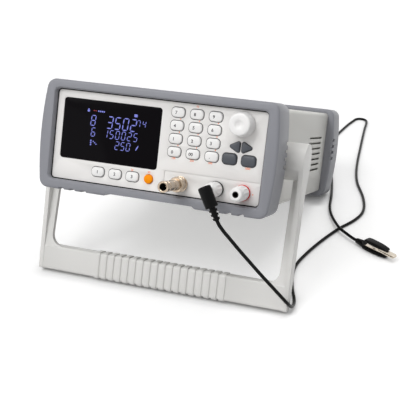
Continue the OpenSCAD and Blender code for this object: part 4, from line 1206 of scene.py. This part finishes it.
# Place, aim and side of each square lamp, in metres
LAMPS = {
    "key": ((-0.5, -1.3, 1.7), (0, 0, 0.08), 1.0),
    "fill": ((-1.3, -1.7, 0.7), (0, 0, 0.1), 1.2),
    "top": ((0.5, 0.1, 2.0), (0, 0, 0.1), 1.0),
}
FLOOR_UNDER = 0.0002
FLOOR_GREYS = (0.7, 0.73)
# Reach of the dark line where something stands on the floor, and the distances between which the floor turns white
CONTACT_SHADOW = 0.014
WHITE_FROM = 0.5
WHITE_AT = 1.6


def lamp(name, place, aim, size, power):
    bpy.ops.object.light_add(type="AREA", location=place)
    obj = bpy.context.active_object
    obj.name = name
    obj.rotation_euler = (Vector(aim) - Vector(place)).to_track_quat("-Z", "Y").to_euler()
    obj.data.size = size
    obj.data.energy = power
    return obj


def seen_rays(nodes, links):
    """One where the camera, a reflection or a clear piece sees the surface, and zero for its light on the object."""
    path = nodes.new("ShaderNodeLightPath")
    seen = add_math(nodes, links, "MAXIMUM", path.outputs["Is Camera Ray"], path.outputs["Is Glossy Ray"])
    return add_math(nodes, links, "MAXIMUM", seen, path.outputs["Is Transmission Ray"])


class TESTER_OT_stage(bpy.types.Operator):
    """Lays a plain pale floor and sets soft studio light"""

    bl_idname = "tester.stage"
    bl_label = "Studio"

    def execute(self, context):
        stage = context.scene.tester_stage
        self.floor(context, stage)
        self.world(context, stage)
        for name, (place, aim, size) in LAMPS.items():
            lamp(name + "_lamp", place, aim, size, getattr(stage, name + "_power"))
        context.scene.view_settings.view_transform = "Standard"
        return {"FINISHED"}

    @staticmethod
    def floor(context, stage):
        """A pale floor that keeps the object's shadow, turns white far off and lies a hair under the object."""
        deselect()
        bpy.ops.mesh.primitive_plane_add(size=stage.floor_size, location=(0, 0, -FLOOR_UNDER))
        floor = context.active_object
        settle(floor, "studio_floor")
        material, nodes, links, shader = new_material("pale_floor")
        place = nodes.new("ShaderNodeTexCoord")
        mottle = nodes.new("ShaderNodeTexNoise")
        mottle.inputs["Scale"].default_value = 3
        links.new(place.outputs["Object"], mottle.inputs["Vector"])
        ramp = nodes.new("ShaderNodeValToRGB")
        for element, grey in zip(ramp.color_ramp.elements, FLOOR_GREYS):
            element.color = (grey, grey, grey, 1)
        links.new(mottle.outputs["Fac"], ramp.inputs["Fac"])
        links.new(ramp.outputs["Color"], shader.inputs["Base Color"])
        shader.inputs["Roughness"].default_value = 0.9
        shader.inputs["Specular IOR Level"].default_value = 0.1
        glow = nodes.new("ShaderNodeEmission")
        near = nodes.new("ShaderNodeAmbientOcclusion")
        near.inputs["Distance"].default_value = CONTACT_SHADOW
        away = nodes.new("ShaderNodeVectorMath")
        away.operation = "LENGTH"
        links.new(place.outputs["Object"], away.inputs[0])
        far = nodes.new("ShaderNodeMapRange")
        far.interpolation_type = "SMOOTHSTEP"
        far.inputs["From Min"].default_value = WHITE_FROM
        far.inputs["From Max"].default_value = WHITE_AT
        links.new(away.outputs["Value"], far.inputs["Value"])
        open_floor = add_math(nodes, links, "MULTIPLY", near.outputs["AO"], stage.floor_glow)
        open_floor = add_math(nodes, links, "ADD", open_floor, far.outputs["Result"])
        links.new(add_math(nodes, links, "MULTIPLY", seen_rays(nodes, links), open_floor), glow.inputs["Strength"])
        total = nodes.new("ShaderNodeAddShader")
        links.new(shader.outputs["BSDF"], total.inputs[0])
        links.new(glow.outputs["Emission"], total.inputs[1])
        links.new(total.outputs["Shader"], nodes["Material Output"].inputs["Surface"])
        floor.data.materials.append(material)

    @staticmethod
    def world(context, stage):
        """Even light on the object, and white where it is seen."""
        world = bpy.data.worlds.new("studio_world")
        context.scene.world = world
        world.use_nodes = True
        nodes, links = world.node_tree.nodes, world.node_tree.links
        even = nodes["Background"]
        even.inputs["Color"].default_value = (1, 1, 1, 1)
        even.inputs["Strength"].default_value = stage.world_light
        white = nodes.new("ShaderNodeEmission")
        white.inputs["Color"].default_value = (1, 1, 1, 1)
        white.inputs["Strength"].default_value = 1
        mix = nodes.new("ShaderNodeMixShader")
        links.new(seen_rays(nodes, links), mix.inputs["Fac"])
        links.new(even.outputs["Background"], mix.inputs[1])
        links.new(white.outputs["Emission"], mix.inputs[2])
        links.new(mix.outputs["Shader"], nodes["World Output"].inputs["Surface"])


class TESTER_PT_panel(bpy.types.Panel):
    """Lists the steps and the settings"""

    bl_idname = "TESTER_PT_panel"
    bl_label = "Bench tester"
    bl_space_type = "VIEW_3D"
    bl_region_type = "UI"
    bl_category = "Tester"

    def draw(self, context):
        layout = self.layout
        for group_name, group in GROUPS.items():
            for name in group.__annotations__:
                layout.prop(getattr(context.scene, group_name), name)
        for operator in STEPS:
            layout.operator(operator.bl_idname)


GROUPS = {
    "tester_colours": TesterColours,
    "tester_camera": TesterCamera,
    "tester_lead": TesterLead,
    "tester_stage": TesterStage,
}
STEPS = (
    TESTER_OT_camera,
    TESTER_OT_lead,
    TESTER_OT_bumpers,
    TESTER_OT_case,
    TESTER_OT_handle,
    TESTER_OT_panel,
    TESTER_OT_display,
    TESTER_OT_keys,
    TESTER_OT_print,
    TESTER_OT_knob,
    TESTER_OT_terminals,
    TESTER_OT_stage,
)


def register():
    for name, group in GROUPS.items():
        bpy.utils.register_class(group)
        setattr(bpy.types.Scene, name, bpy.props.PointerProperty(type=group))
    for operator in STEPS:
        bpy.utils.register_class(operator)
    bpy.utils.register_class(TESTER_PT_panel)


def unregister():
    bpy.utils.unregister_class(TESTER_PT_panel)
    for operator in reversed(STEPS):
        bpy.utils.unregister_class(operator)
    for name, group in reversed(GROUPS.items()):
        delattr(bpy.types.Scene, name)
        bpy.utils.unregister_class(group)


def main():
    register()
    bpy.ops.tester.camera()
    bpy.ops.tester.lead()
    bpy.ops.tester.bumpers()
    bpy.ops.tester.case()
    bpy.ops.tester.handle()
    bpy.ops.tester.panel()
    bpy.ops.tester.display()
    bpy.ops.tester.keys()
    bpy.ops.tester.print()
    bpy.ops.tester.knob()
    bpy.ops.tester.terminals()
    bpy.ops.tester.stage()


if __name__ == "__main__":
    main()
